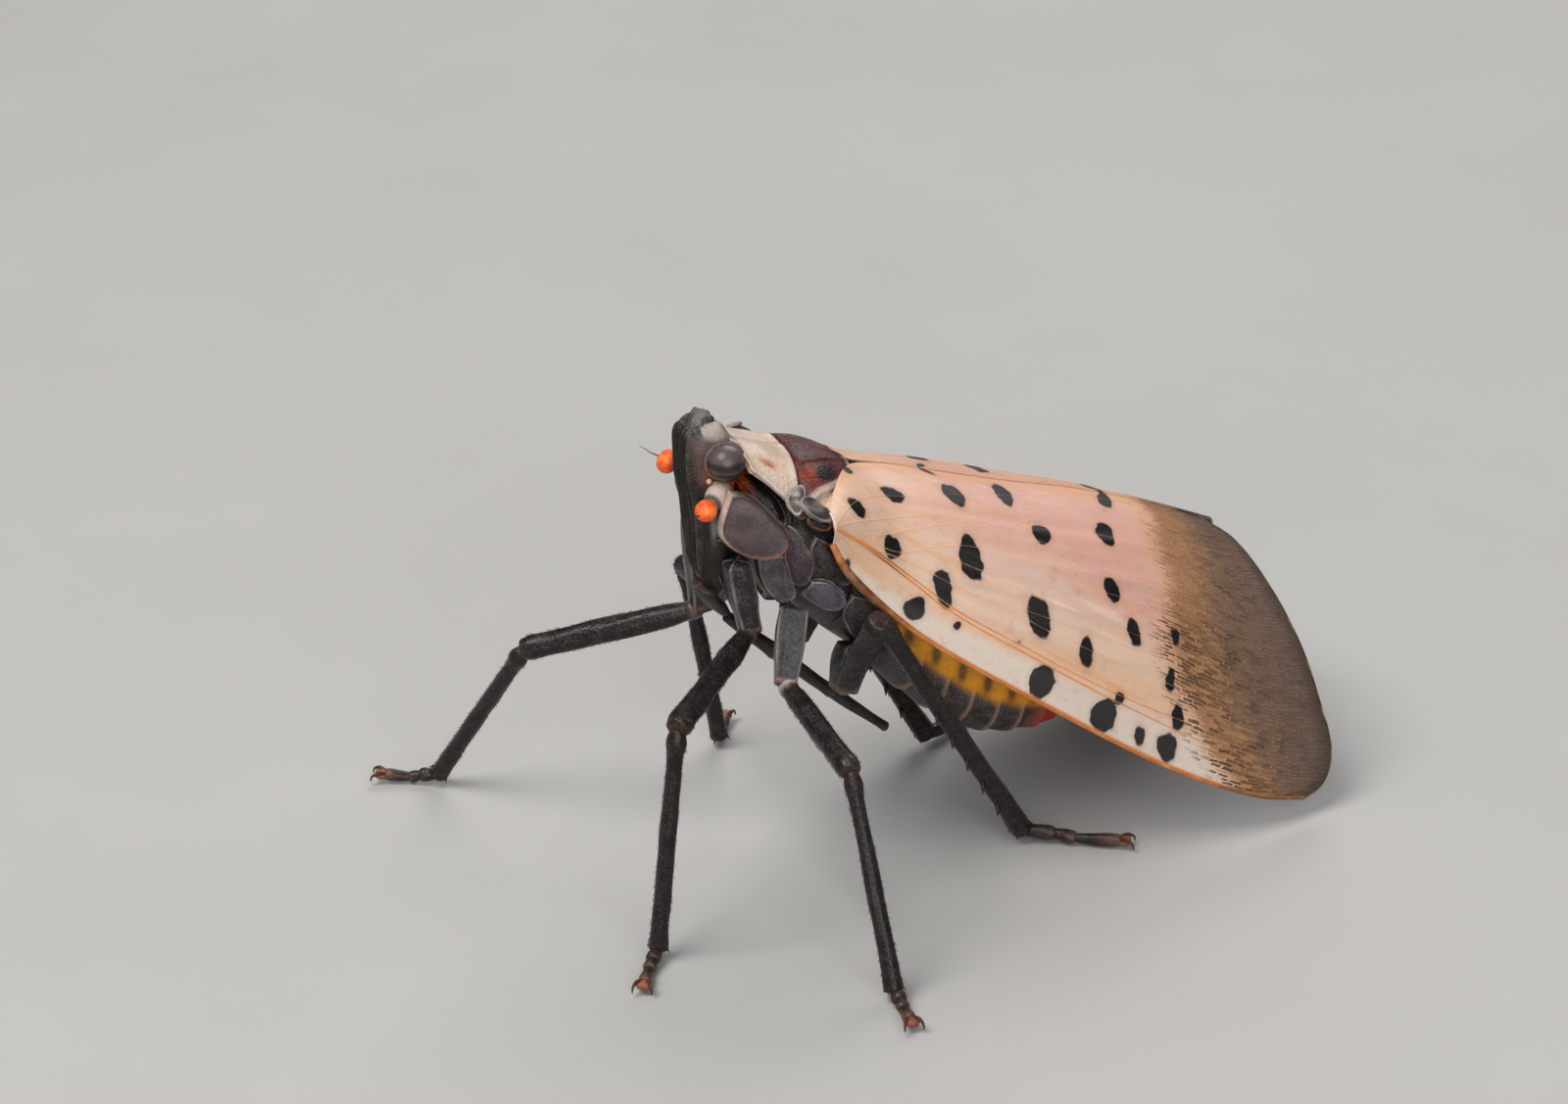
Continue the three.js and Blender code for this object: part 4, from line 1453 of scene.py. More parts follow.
        def layers(u: Array, v: Array, p: Array) -> Paint:
            """Cream, with an orange-brown stain on each half, pale edges and a darker middle line."""
            a = (v - 0.5) * 2
            tint = blend(ease(waves(p, 0.8, 13), -0.3, 0.9) * 0.6, ink(190, 171, 157), ink(166, 138, 120))
            stain = ridge(np.hypot((np.abs(a) - 0.62) * 2.0, u - 0.5), 0, 0.13)
            ring = ridge(np.hypot((np.abs(a) - 0.62) * 2.0, u - 0.5), 0, 0.26)
            tint = blend(ring * 0.6, tint, ink(198, 144, 112))
            tint = blend(stain * 0.95, tint, ink(136, 70, 38))
            tint = blend(ridge(a, 0, 0.04) * 0.6, tint, ink(150, 112, 92))
            front = ease(u, 0.1, 0.0) + ease(u, 0.93, 1.0)
            tint = blend(np.clip(front, 0, 1) * 0.6, tint, ink(196, 176, 162))
            return coat(len(u), tint, 0.15, 0.35)

        return sheet("pronotum_skin", place, 60, 120, layers, (0, 0, 1), 0.2, 1)

    def mesonotum(self) -> Piece:
        """The maroon shield between the wings' roots, with a pale rear rim.

        Returns:
            The piece.
        """

        def place(u: Array, v: Array) -> Array:
            """An arched shield that narrows to a blunt point, with two lengthwise ridges."""
            a = (v - 0.5) * 2
            half = 2.35 - 0.2 * u - 1.95 * u ** 2.2
            y = 2.75 + 0.1 * a ** 2 + 2.5 * u
            z = 13.36 + 0.2 * ease(u, 0.0, 0.25) - 0.9 * u ** 2.4 - (0.85 - 0.4 * u) * np.abs(a) ** 2.6
            keel = 0.05 * ridge(a, 0, 0.06) + 0.05 * ridge(np.abs(a), 0.45, 0.05)
            rim = 0.06 * np.maximum(ridge(np.abs(a), 0.95, 0.05), ridge(u, 0.95, 0.05))
            return np.stack([a * half, y, z + keel + rim], -1)

        def layers(u: Array, v: Array, p: Array) -> Paint:
            """Maroon-brown with an orange-brown patch around a black spot on each half."""
            a = (v - 0.5) * 2
            tint = blend(ease(waves(p, 0.5, 9), -0.6, 0.8), ink(62, 14, 10), ink(80, 36, 34))
            tint = blend(ridge(np.hypot((np.abs(a) - 0.68) * 2.0, (u - 0.3) * 1.6), 0, 0.28), tint, ink(124, 42, 6))
            black = (2.6 * ridge(np.hypot((np.abs(a) - 0.73) * 1.9, (u - 0.46) * 1.8), 0, 0.21)).clip(0, 1)
            tint = blend(black, tint, ink(12, 5, 4))
            pale = np.maximum(ease(np.abs(a), 0.88, 0.97), ease(u, 0.9, 0.97))
            tint = blend(pale * 0.8, tint, ink(196, 172, 160))
            return coat(len(u), tint, 0.05, 0.75)

        return sheet("mesonotum_skin", place, 60, 120, layers, (0, 0, 1), 0.2, 1)

    def side_lobe(self) -> Piece:
        """The round violet-brown lobe that hangs from the collar beside the head.

        Returns:
            The piece.
        """
        plate = Plate(self.lobe, lambda y, z: 2.12 + 0.38 * (y - 1.3) - 0.1 * (z - 12.2) ** 2 / 1.4, dome=0.16,
                      rim=0.09, wall=0.22, rings=40, steps=140)

        def layers(u: Array, v: Array, p: Array) -> Paint:
            """Violet-brown, with a tan front rim and an orange lower rim."""
            tint = blend(ease(waves(p, 0.7, 11), -0.8, 0.9), ink(62, 48, 50), ink(86, 72, 72))
            rim = ease(u, 0.86, 0.95)
            front = ease(p[:, 1], 0.95, 0.5)
            low = ease(p[:, 2], 11.8, 11.2)
            edge = blend(low, blend(front, ink(70, 52, 48), ink(184, 158, 146)), ink(158, 96, 62))
            return coat(len(u), blend(rim, tint, edge), 0.25, 0.3)

        return plate.build("side_lobe_skin", layers)

    def flank_plates(self) -> Piece:
        """The overlapping plates of the flank below the lobe, each with a pale edge.

        Returns:
            The piece.
        """
        outlines = [
            ([(0.5, 11.3), (0.9, 11.35), (1.35, 10.95), (1.55, 10.2), (1.6, 9.45), (1.3, 9.1), (0.9, 9.5), (0.6, 10.4)],
             0.12, ink(26, 23, 22), 0.8),
            ([(1.5, 10.95), (1.95, 10.98), (2.45, 10.9), (2.6, 10.1), (2.7, 9.5), (2.35, 9.32), (1.93, 9.62),
               (1.63, 10.21)], 0.1, ink(62, 55, 60), 0.6),
            ([(2.3, 12.1), (2.6, 11.9), (2.75, 11.4), (3.05, 10.75), (3.0, 10.25), (2.8, 9.9), (2.56, 9.95),
              (2.42, 10.35), (2.28, 11.0)], 0.16, ink(56, 44, 50), 0.4),
            ([(3.0, 10.2), (3.45, 10.12), (3.85, 9.75), (4.15, 9.3), (4.05, 9.0), (3.6, 8.95), (3.15, 9.25),
              (2.85, 9.6)], 0.2, ink(78, 73, 82), 0.6),
            ([(3.2, 11.6), (3.6, 11.3), (4.1, 10.6), (4.45, 9.9), (4.2, 9.75), (3.8, 10.05), (3.3, 10.6), (3.0, 11.2)],
             0.05, ink(40, 30, 26), 0.3),
            ([(1.12, 13.6), (1.42, 13.75), (1.9, 13.2), (2.4, 12.5), (2.45, 11.9), (2.2, 11.95), (1.8, 12.5),
              (1.35, 13.1)], 0.12, ink(20, 15, 14), 0.05),
            ([(4.4, 9.4), (5.0, 9.1), (5.6, 8.2), (5.5, 7.5), (4.9, 7.4), (4.4, 8.1), (4.15, 8.9)],
             0.1, ink(58, 50, 46), 0.5),
        ]
        parts = []
        for index, (outline, lift, base, dust) in enumerate(outlines):
            glossy = dust < 0.1

            def layers(u: Array, v: Array, p: Array, base: Array = base, dust: float = dust,
                       glossy: bool = glossy) -> Paint:
                """The plate's own colour with a pale worn rim; the glossy one turns orange in front."""
                tint = base
                if glossy:
                    tint = blend(ease(p[:, 1], 1.75, 1.25), tint, ink(140, 60, 24))
                    return coat(len(u), tint, 0.0, 1.0)
                rim = ridge(u, 0.93, 0.035)
                tint = blend(rim * 0.8 * (0.45 + 0.6 * waves(p, 0.8, 6)).clip(0, 1), tint, ink(158, 142, 132))
                return coat(len(u), tint, dust, 0.5)

            flap = index == 1
            stand = (lambda y, z: 2.04 + 0.12 * (y - 2.3)) if flap else self.hug(lift)
            plate = Plate(outline, stand, dome=0.07, rim=0.05, wall=0.5 if flap else 0.2, rings=30, steps=110,
                          rough=0.035)
            parts.append(plate.build(f"flank_{index}", layers))
        return join("flank_plates", parts)

    def tegula(self) -> Piece:
        """The small cupped lobes over the wing's root, and the skin between shield and wing.

        Returns:
            The piece.
        """
        shapes = [((2.6, 2.5, 13.0), (0.3, 0.42), (0.75, -0.3, 0.6), 0.35, 0),
                  ((2.82, 3.0, 12.72), (0.62, 0.34), (0.72, 0.1, 0.68), 0.5, 1),
                  ((2.85, 3.15, 12.3), (0.5, 0.26), (0.9, 0.05, 0.3), 0.5, 2),
                  ((2.5, 2.75, 12.55), (0.24, 0.2), (0.8, -0.3, 0.3), 0.0, 2)]
        parts = []
        for index, (middle, reach, way, lean, kind) in enumerate(shapes):
            out = unit(np.array(way))
            back = unit(np.array([0.0, math.cos(lean), -math.sin(lean)]) - out * out[1] * math.cos(lean))
            up = np.cross(out, back)

            def place(u: Array, v: Array, middle: Point = middle, reach: tuple[float, float] = reach,
                      out: Array = out, back: Array = back, up: Array = up) -> Array:
                """A cupped lobe with a raised rim and a fold across it."""
                a = TWO_PI * v
                lobe = u * (1 + 0.16 * np.cos(2 * a + middle[2] * 9) + 0.1 * np.sin(3 * a + middle[1] * 7))
                long, wide = reach[0] * lobe * np.cos(a), reach[1] * lobe * np.sin(a) * (1 + 0.2 * np.cos(a))
                lift = 0.16 * (1 - u ** 2) + 0.07 * ridge(u, 0.9, 0.09) - 0.09 * ridge(wide, 0.03, 0.06) * (1 - u ** 4)
                p = np.array(middle) + back * long[:, None] + up * wide[:, None] + out * lift[:, None]
                return p + out * (0.025 * waves(p, 1.6, 17))[:, None]

            def layers(u: Array, v: Array, p: Array, kind: int = kind) -> Paint:
                """Clear grey with a pale painted highlight on the raised rim, browner towards the wing."""
                deep = (ink(84, 76, 72), ink(48, 42, 40), ink(36, 26, 22))[kind]
                light = (ink(144, 136, 130), ink(116, 108, 104), ink(76, 56, 46))[kind]
                tint = blend(ease(waves(p, 1.5, 21), -0.5, 0.8), deep, light)
                # The pale rim is a painted highlight along the lobe's raised rim.
                rim = ridge(u, 0.9, 0.09) * (0.7 + 0.4 * waves(p, 0.9, 23)).clip(0.1, 1)
                tint = blend(0.6 * rim, tint, (ink(206, 200, 194), ink(176, 168, 162), ink(140, 88, 56))[kind])
                return coat(len(u), tint, 0.1, 0.55)

            parts.append(sheet(f"tegula_{index}", place, 22, 64, layers, way, 0.12, closed=True))
        inner = Route([(2.1, 2.95, 12.8), (2.0, 3.5, 12.74), (1.5, 4.1, 12.78), (0.9, 4.6, 12.7)])
        outer = Route([(2.7, 3.1, 12.5), (2.8, 3.6, 12.3), (2.0, 4.15, 12.75), (1.1, 4.8, 12.76)])

        def fold(u: Array, v: Array) -> Array:
            """A pale skin from the shield's side down to the wing's root."""
            p = inner.at(u) * (1 - v)[:, None] + outer.at(u) * v[:, None]
            p[:, 2] += 0.05 * np.sin(v * 9 + u * 4) * np.sin(math.pi * v) - 0.03 * v
            return p

        def fold_layers(u: Array, v: Array, p: Array) -> Paint:
            """Tan, with a pale line along the shield."""
            return coat(len(u), blend(ridge(v, 0.08, 0.1), ink(190, 160, 136), ink(222, 208, 198)), 0.1, 0.4)

        parts.append(sheet("root_fold", fold, 40, 24, fold_layers, (0, 0, 1), 0.08))
        return join("tegula_skin", parts)


# The abdomen

@dataclass
class Abdomen:
    """The ringed abdomen with its red end."""

    slices: Rows = (
        (6.5, 10.2, 5.8, 5.7, 2.15), (6.75, 10.1, 6.0, 5.5, 2.2), (7.7, 9.5, 7.0, 4.5, 2.45), (8.7, 8.8, 8.0, 3.6, 2.5),
        (9.7, 8.0, 9.1, 2.9, 2.4), (10.7, 7.1, 10.2, 2.55, 2.15), (11.7, 6.1, 11.3, 2.4, 1.75))
    tip: Rows = ((11.75, 6.05, 11.35, 2.4, 1.72), (12.8, 4.5, 12.7, 2.6, 1.0), (13.5, 3.7, 13.4, 2.9, 0.5))
    segments: int = 6
    step: float = 0.13

    def build(self, skins: Skins) -> None:
        """Makes and dresses the abdomen and its end.

        Args:
            skins: the finishes, by name.
        """
        body = Slabs(self.slices)

        def place(u: Array, v: Array) -> Array:
            """Each ring overlaps the next one by a low step."""
            p = body.place(u, v)
            t = body.along(u)
            phase = (t * self.segments) % 1.0
            rise = self.step * (phase - 0.5) * (u > 0.04) * (u < 0.96)
            centre = body.centre(t)
            out = unit(p - centre)
            fold = 0.05 * ridge(v % 0.5, 0.3, 0.015) + 0.05 * ridge(v % 0.5, 0.2, 0.015)
            return p + out * (rise - fold)[:, None]

        def layers(u: Array, v: Array, p: Array) -> Paint:
            """Yellow sides, black bands above, dusty grey plates with pale edges below."""
            t = body.along(u)
            phase = (t * self.segments) % 1.0
            down = np.cos(TWO_PI * v)
            tint = ink(214, 140, 22)
            band = ease(phase, 0.05, 0.12) * (1 - ease(phase, 0.5, 0.6))
            tint = blend(band * ease(down, 0.25, 0.45), tint, ink(30, 24, 22))
            spot = ridge(phase, 0.35, 0.16) * ridge(np.abs(down), 0.1, 0.14)
            tint = blend(np.clip(spot * 1.4, 0, 1) * 0.8, tint, ink(50, 36, 28))
            below = ease(down, -0.2, -0.38)
            plate = blend(ease(phase, 0.78, 0.92), ink(44, 38, 37), ink(128, 98, 78))
            tint = blend(below, tint, plate)
            tint = blend(ease(t, 0.85, 1.0) * below, tint, ink(150, 60, 34))
            return coat(len(u), tint, 0.25 + 0.45 * below, 0.45)

        settle(lay("abdomen_skin", place, 240, 140, layers, closed=True), skins["cuticle"], ["abdomen"])
        end = Slabs(self.tip, caps=(0.1, 0.25))

        def tip_place(u: Array, v: Array) -> Array:
            """The end: three short rings, and two valves parted by a groove below."""
            p = end.place(u, v)
            t = end.along(u)
            out = unit(p - end.centre(t))
            p = p + out * (0.14 * ((t * 3) % 1.0 - 0.5) * (u > 0.06) * (u < 0.94) + 0.03 * waves(p, 0.8, 33))[:, None]
            groove = 0.16 * ridge(p[:, 0], 0, 0.12) * (np.cos(TWO_PI * v) < 0)
            p[:, 2] += groove * np.sin(math.pi * np.clip(u, 0, 1))
            return p

        def tip_layers(u: Array, v: Array, p: Array) -> Paint:
            """Dark rings with yellow and red hind edges above, red-orange below."""
            phase = (end.along(u) * 3) % 1.0
            below = ease(np.cos(TWO_PI * v), 0.1, -0.3)
            tint = blend(ease(phase, 0.62, 0.86), ink(48, 34, 28), ink(172, 96, 30))
            tint = blend(below, tint, ink(158, 46, 26))
            tint = blend(ease(phase, 0.8, 0.95) * below, tint, ink(196, 96, 52))
            return coat(len(u), tint, 0.35, 0.5)

        parts = [lay("abdomen_end", tip_place, 110, 110, tip_layers, closed=True)]
        pegs = [((0, 12.9, 4.0), (0, 13.25, 3.75), (0, 13.56, 3.42), 0.26, ink(92, 52, 34))]
        pegs += [((x, 12.9, 2.95), (x * 1.1, 13.25, 2.85), (x, 13.54, 2.86), 0.2, ink(120, 44, 28))
                 for x in (-0.24, 0.24)]
        for index, (a, b, c, r, tone) in enumerate(pegs):
            rod = Rod(Route([a, b, c]), [(0, r), (0.6, r * 0.95), (1, r * 0.7)], (1, 0, 0), caps=(0.03, 0.05))
            parts.append(lay(f"end_peg_{index}", rod.place, 30, 32,
                             lambda u, v, p, tone=tone: coat(len(u), blend(ridge(u, 0.9, 0.1), tone, ink(60, 34, 26)),
                                                             0.2, 0.5), closed=True))
        settle(join("abdomen_end", parts), skins["cuticle"], ["abdomen_tip"])


# The wings

@dataclass(frozen=True)
class Spot:
    """A black spot: its place on the wing, its size across and along the wing in mm, and its lean."""

    u: float
    v: float
    across: float
    along: float
    lean: float = 0.0


SPOTS = (
    Spot(0.150, 0.973, 0.36, 0.45, -0.52), Spot(0.099, 0.702, 0.80, 0.46, -0.58), Spot(0.223, 0.758, 0.95, 0.50, -0.95),
    Spot(0.360, 0.825, 1.08, 0.70, 0.23), Spot(0.484, 0.885, 1.05, 0.66, 0.43), Spot(0.357, 0.975, 0.55, 0.22, -0.58),
    Spot(0.734, 0.947, 0.94, 0.53, 0.67), Spot(0.656, 0.768, 0.89, 0.64, 0.29), Spot(0.503, 0.703, 0.81, 0.68, 0.04),
    Spot(0.171, 0.430, 0.80, 0.55, -0.21), Spot(0.330, 0.493, 1.38, 0.76, 0.13), Spot(0.263, 0.307, 1.11, 0.62, 0.01),
    Spot(0.051, 0.093, 0.33, 0.21, -0.57), Spot(0.200, 0.122, 0.75, 0.68, 0.5), Spot(0.280, 0.152, 0.28, 0.24),
    Spot(0.441, 0.335, 1.43, 0.70, 0.04), Spot(0.608, 0.537, 0.81, 0.55), Spot(0.633, 0.407, 0.82, 0.45, -0.19),
    Spot(0.525, 0.270, 0.95, 0.46, 0.13), Spot(0.440, 0.088, 1.08, 0.85, -0.22), Spot(0.584, 0.153, 0.47, 0.30, -0.14),
    Spot(0.564, 0.073, 1.12, 0.90, -0.2), Spot(0.639, 0.062, 0.70, 0.38, -0.45), Spot(0.719, 0.437, 0.54, 0.32, -0.07),
    Spot(0.691, 0.283, 0.64, 0.36, 0.11), Spot(0.698, 0.165, 0.82, 0.45, -0.29), Spot(0.693, 0.065, 0.99, 0.72, -0.71),
    Spot(0.394, 0.198, 0.09, 0.09), Spot(0.496, 0.553, 0.08, 0.08))


@dataclass(frozen=True)
class Vein:
    """A raised vein: its radius in mm and the places that it runs through."""

    radius: float
    stops: Pairs


@dataclass
class Forewing:
    """The forewing, folded like a roof: the edges it spans, its spots, its veins and its netted end."""

    costal: Sequence[Point] = ((2.95, 3.55, 11.5), (3.05, 3.95, 10.6), (3.35, 4.75, 9.6), (3.95, 6.3, 8.15),
                               (4.85, 9.65, 5.75), (5.45, 13.9, 2.85), (5.72, 16.9, 1.3), (5.5, 18.7, 0.7))
    dorsal: Sequence[Point] = ((2.7, 3.5, 12.5), (1.7, 4.2, 12.9), (0.8, 4.85, 12.85), (0.2, 5.5, 12.62),
                               (0.07, 6.6, 12.32), (0.06, 8.3, 11.74), (0.06, 10.6, 10.97), (0.06, 13.1, 10.22),
                               (0.06, 15.7, 9.2), (0.12, 17.5, 8.38))
    margin: Sequence[Point] = ((5.5, 18.7, 0.7), (5.3, 19.45, 0.98), (4.95, 19.9, 1.8), (4.1, 19.75, 3.6),
                               (3.2, 19.5, 5.08), (1.95, 18.95, 6.68), (0.8, 18.32, 7.78), (0.12, 17.5, 8.38))
    net_line: Pairs = ((0.80, 0.0), (0.828, 0.015), (0.749, 0.115), (0.71, 0.278),
                       (0.709, 0.435), (0.72, 0.537), (0.772, 0.765), (0.838, 1.0))
    bulge: float = 1.0
    wall: float = 0.09
    rows: int = 190
    columns: int = 104
    veins: Sequence[Vein] = (
        Vein(0.046, ((0.0, 0.5), (0.05, 0.42), (0.124, 0.338), (0.204, 0.262), (0.262, 0.208), (0.322, 0.182),
                     (0.394, 0.168), (0.46, 0.153), (0.532, 0.143), (0.618, 0.136), (0.7, 0.128), (0.8, 0.12))),
        Vein(0.042, ((0.015, 0.505), (0.06, 0.43), (0.13, 0.358), (0.21, 0.283), (0.268, 0.228), (0.328, 0.204),
                     (0.4, 0.19), (0.464, 0.175), (0.536, 0.166), (0.62, 0.163), (0.72, 0.163))),
        Vein(0.03, ((0.002, 0.6), (0.048, 0.588), (0.12, 0.585), (0.186, 0.602), (0.282, 0.667), (0.414, 0.763),
                    (0.56, 0.845), (0.706, 0.895), (0.8, 0.91))),
        Vein(0.03, ((0.0, 0.56), (0.064, 0.49), (0.124, 0.478), (0.18, 0.51), (0.236, 0.565), (0.324, 0.655),
                    (0.434, 0.722), (0.558, 0.753), (0.694, 0.755), (0.76, 0.75))),
        Vein(0.028, ((0.128, 0.468), (0.135, 0.42), (0.16, 0.402), (0.198, 0.415), (0.248, 0.478), (0.318, 0.54),
                     (0.402, 0.562), (0.486, 0.568), (0.604, 0.585), (0.73, 0.6))),
        Vein(0.024, ((0.23, 0.455), (0.262, 0.472), (0.302, 0.458), (0.36, 0.448), (0.47, 0.455), (0.582, 0.46),
                     (0.72, 0.455))),
        Vein(0.026, ((0.128, 0.362), (0.16, 0.372), (0.194, 0.37), (0.248, 0.352), (0.29, 0.334), (0.352, 0.333),
                     (0.416, 0.341), (0.514, 0.345), (0.72, 0.345))),
        Vein(0.022, ((0.345, 0.333), (0.402, 0.314), (0.454, 0.292), (0.564, 0.278), (0.72, 0.263))),
        Vein(0.026, ((0.004, 0.66), (0.05, 0.73), (0.102, 0.75), (0.17, 0.745), (0.242, 0.752), (0.348, 0.815),
                     (0.524, 0.9), (0.706, 0.95), (0.8, 0.96))),
        Vein(0.026, ((0.126, 0.475), (0.121, 0.42), (0.124, 0.35))),
        Vein(0.022, ((0.46, 0.153), (0.495, 0.17), (0.53, 0.186), (0.616, 0.205), (0.72, 0.215))),
        Vein(0.02, ((0.36, 0.675), (0.45, 0.665), (0.58, 0.66), (0.74, 0.67))),
        Vein(0.02, ((0.42, 0.563), (0.5, 0.53), (0.6, 0.52), (0.72, 0.525))),
        Vein(0.02, ((0.35, 0.448), (0.45, 0.41), (0.56, 0.4), (0.72, 0.4))),
        Vein(0.02, ((0.45, 0.725), (0.55, 0.8), (0.66, 0.825), (0.78, 0.83))))

    def __post_init__(self) -> None:
        """Rounds the three edges."""
        self.front, self.back, self.end = Route(self.costal), Route(self.dorsal), Route(self.margin)
        self.boundary = Route(self.net_line).line

    def surface(self, u: Array, v: Array) -> Array:
        """The wing's outer face: u runs from root to end, v from the costal edge to the ridge.

        Args:
            u: shares of the grid's first side.
            v: shares of its second side.

        Returns:
            The places.
        """
        a, b = u[:, None], v[:, None]
        low, high, end = self.front.at(u), self.back.at(u), self.end.at(v)
        root = self.front.line[0] * (1 - b) + self.back.line[0] * b
        corners = (self.front.line[0] * (1 - a) * (1 - b) + self.back.line[0] * (1 - a) * b
                   + self.end.line[0] * a * (1 - b) + self.end.line[-1] * a * b)
        flat = low * (1 - b) + high * b + root * (1 - a) + end * a - corners
        chord = high - low
        out = unit(np.stack([chord[:, 2], 0 * u, -chord[:, 0]], -1))
        swell = self.bulge * np.sin(math.pi * v ** 1.4) * np.sin(math.pi * (0.12 + 0.88 * u))
        return flat + out * swell[:, None]

    def normal(self, u: Array, v: Array) -> Array:
        """The outward direction of the wing's face.

        Args:
            u: shares of the grid's first side.
            v: shares of its second side.

        Returns:
            The directions.
        """
        d = 0.004
        along = self.surface(np.clip(u + d, 0, 1), v) - self.surface(np.clip(u - d, 0, 1), v)
        across = self.surface(u, np.clip(v + d, 0, 1)) - self.surface(u, np.clip(v - d, 0, 1))
        out = unit(np.cross(along, across))
        return out * np.where(out[:, 0] + out[:, 2] > 0, 1.0, -1.0)[:, None]

    def face(self, u: Array, v: Array) -> Array:
        """The outer face with its low folds beside the veins.

        Args:
            u: shares of the grid's first side.
            v: shares of its second side.

        Returns:
            The places.
        """
        p = self.surface(u, v)
        fold = 0.03 * np.sin(v * 46 + 3 * np.sin(u * 5)) + 0.018 * np.sin(v * 87 + 2 + 4 * np.sin(u * 4 + 1))
        fold = fold * ease(u, 0.08, 0.4) * (1 - 0.75 * ease(u, 0.62, 0.8))
        return p + self.normal(u, v) * (fold * np.sin(math.pi * v))[:, None]

    def spotted(self, p: Array) -> Array:
        """The distance of each place from the nearest spot's edge in mm, below zero inside a spot.

        Args:
            p: the places in mm.

        Returns:
            The distances.
        """
        one, near = np.ones(1), 0.02
        spot = np.full(len(p), 1.0)
        for index, s in enumerate(SPOTS):
            middle = self.surface(one * s.u, one * s.v)
            ahead, behind = one * min(s.v + near, 1), one * (s.v - near)
            across = unit(self.surface(one * s.u, ahead) - self.surface(one * s.u, behind))
            along = unit(self.surface(one * (s.u + near), one * s.v) - self.surface(one * (s.u - near), one * s.v))
            high = unit(across * math.cos(s.lean) + along * math.sin(s.lean))
            wide = unit(np.cross(high, np.cross(along, across)))
            way = p - middle
            a, b = way @ high[0] / (s.across / 2), way @ wide[0] / (s.along / 2)
            angle = np.arctan2(a, b)
            shape = 1 + 0.07 * np.sin(2 * angle + index) + 0.05 * np.sin(3 * angle + index * 1.7)
            spot = np.minimum(spot, (np.hypot(a, b) / shape - 1) * min(s.across, s.along) / 2)
        return np.clip(spot, -1, 1)

    def layers(self, u: Array, v: Array, p: Array) -> Paint:
        """Distances to spots, net and edge, the lie of the surface and the soft colour zones.

        Args:
            u: shares of the grid's first side.
            v: shares of its second side.
            p: the places in mm.

        Returns:
            The layers, by name.
        """
        bound = np.interp(v, self.boundary[:, 1], self.boundary[:, 0])
        chord = np.linalg.norm(self.back.at(u) - self.front.at(u), axis=1)
        lie = np.stack([u * WING_LENGTH, v * chord * 1.08, 0 * u], -1)
        glow = ridge(u, 0.5, 0.26) * ease(v, 0.25, 0.7) + 0.6 * ridge(u, 0.66, 0.08) * ease(v, 0.3, 0.5)
        hem = np.maximum(ease((1 - u) * WING_LENGTH, 0.7, 0.1), ease((1 - v) * chord, 0.5, 0.1) * ease(u, 0.72, 0.8))
        hem = np.maximum(hem, 0.55 * ease(v, 0.62, 0.95) * ease(u, 0.76, 0.84))
        warm = 0.8 * ridge(v, 0.97, 0.035) * ease(u, 0.03, 0.1) + 0.5 * ridge(u, 0.1, 0.07) * ease(v, 0.55, 0.4)
        warm = warm + 0.35 * ridge(v, 0.19, 0.045) * ease(u, 0.1, 0.3)
        return {"spot": self.spotted(p), "apex": (u - bound) * WING_LENGTH, "lie": lie, "glow": np.clip(glow, 0, 1),
                "ash": ease(v, 0.17, 0.11) + 0.35 * ridge(u, 0.42, 0.1) * ridge(v, 0.42, 0.2), "rim": v * chord,
                "low": ease(v, 0.6, 0.42), "hem": hem, "warm": np.clip(warm, 0, 1)}

    def build(self, skins: Skins) -> None:
        """Makes and dresses both forewings and their veins.

        Args:
            skins: the finishes, by name.
        """
        left = sheet("forewing_skin_left", self.face, self.rows, self.columns, self.layers, (1, 0, 1), self.wall)
        veins = self.vein_lines()
        pairs = (left, mirrored(left, "forewing_skin_right")), (veins, mirrored(veins, "forewing_veins_right"))
        for side, skin, net in zip(Side, pairs[0], pairs[1]):
            settle(skin, skins["wing"], [f"forewing_{side.label}"])
            settle(net, skins["vein"])

    def vein_lines(self) -> Piece:
        """The raised veins and the thick front edge.

        Returns:
            The piece.
        """
        t = np.linspace(0, 1, 200)
        strong, faint = [], []
        for vein in self.veins:
            way = Route(vein.stops).at(np.linspace(0, 1, 90))
            u, v = way[:, 0], way[:, 1]
            radius = vein.radius * (1 - 0.6 * np.linspace(0, 1, 90)) * (1.0 if vein.radius > STRONG_VEIN else 0.8)
            line = self.face(u, v) - self.normal(u, v) * (0.35 * radius)[:, None]
            (strong if vein.radius > STRONG_VEIN else faint).append((line, radius))
        front = (self.surface(t, 0 * t) - self.normal(t, 0 * t) * 0.04, 0.06 + 0.08 * ridge(t, 0.08, 0.12))
        margin = (self.surface(0 * t + 1, t) - self.normal(0 * t + 1, t) * 0.04, 0 * t + 0.045)
        root = (self.surface(0 * t, t) + self.normal(0 * t, t) * 0.02, 0.018 * ease(t, 0.3, 0.6) + 0.012)
        parts = []
        for name, group, tone in (("strong", strong, ink(204, 134, 76)), ("faint", faint, ink(214, 170, 132)),
                                  ("front", [front], ink(178, 102, 44)), ("margin", [margin], ink(66, 50, 42)),
                                  ("root", [root], ink(214, 198, 186))):
            piece = strands(f"veins_{name}", [line for line, _ in group], [radius for _, radius in group], 2)
            p = coordinates(piece)
            tint = blend(ease(p[:, 1], 14.6, 16.2), tone, ink(104, 78, 58))
            tint = blend(ease(p[:, 1], 6.2, 4.8) * ease(p[:, 2], 11.4, 10.4), tint, ink(104, 56, 26))
            if name in ("strong", "faint"):
                tint = blend(0.85 * ease(self.spotted(p), 0.04, -0.06), tint, ink(34, 27, 24))
            paint(piece, {"tint": tint})
            parts.append(piece)
        return join("forewing_veins_left", parts)


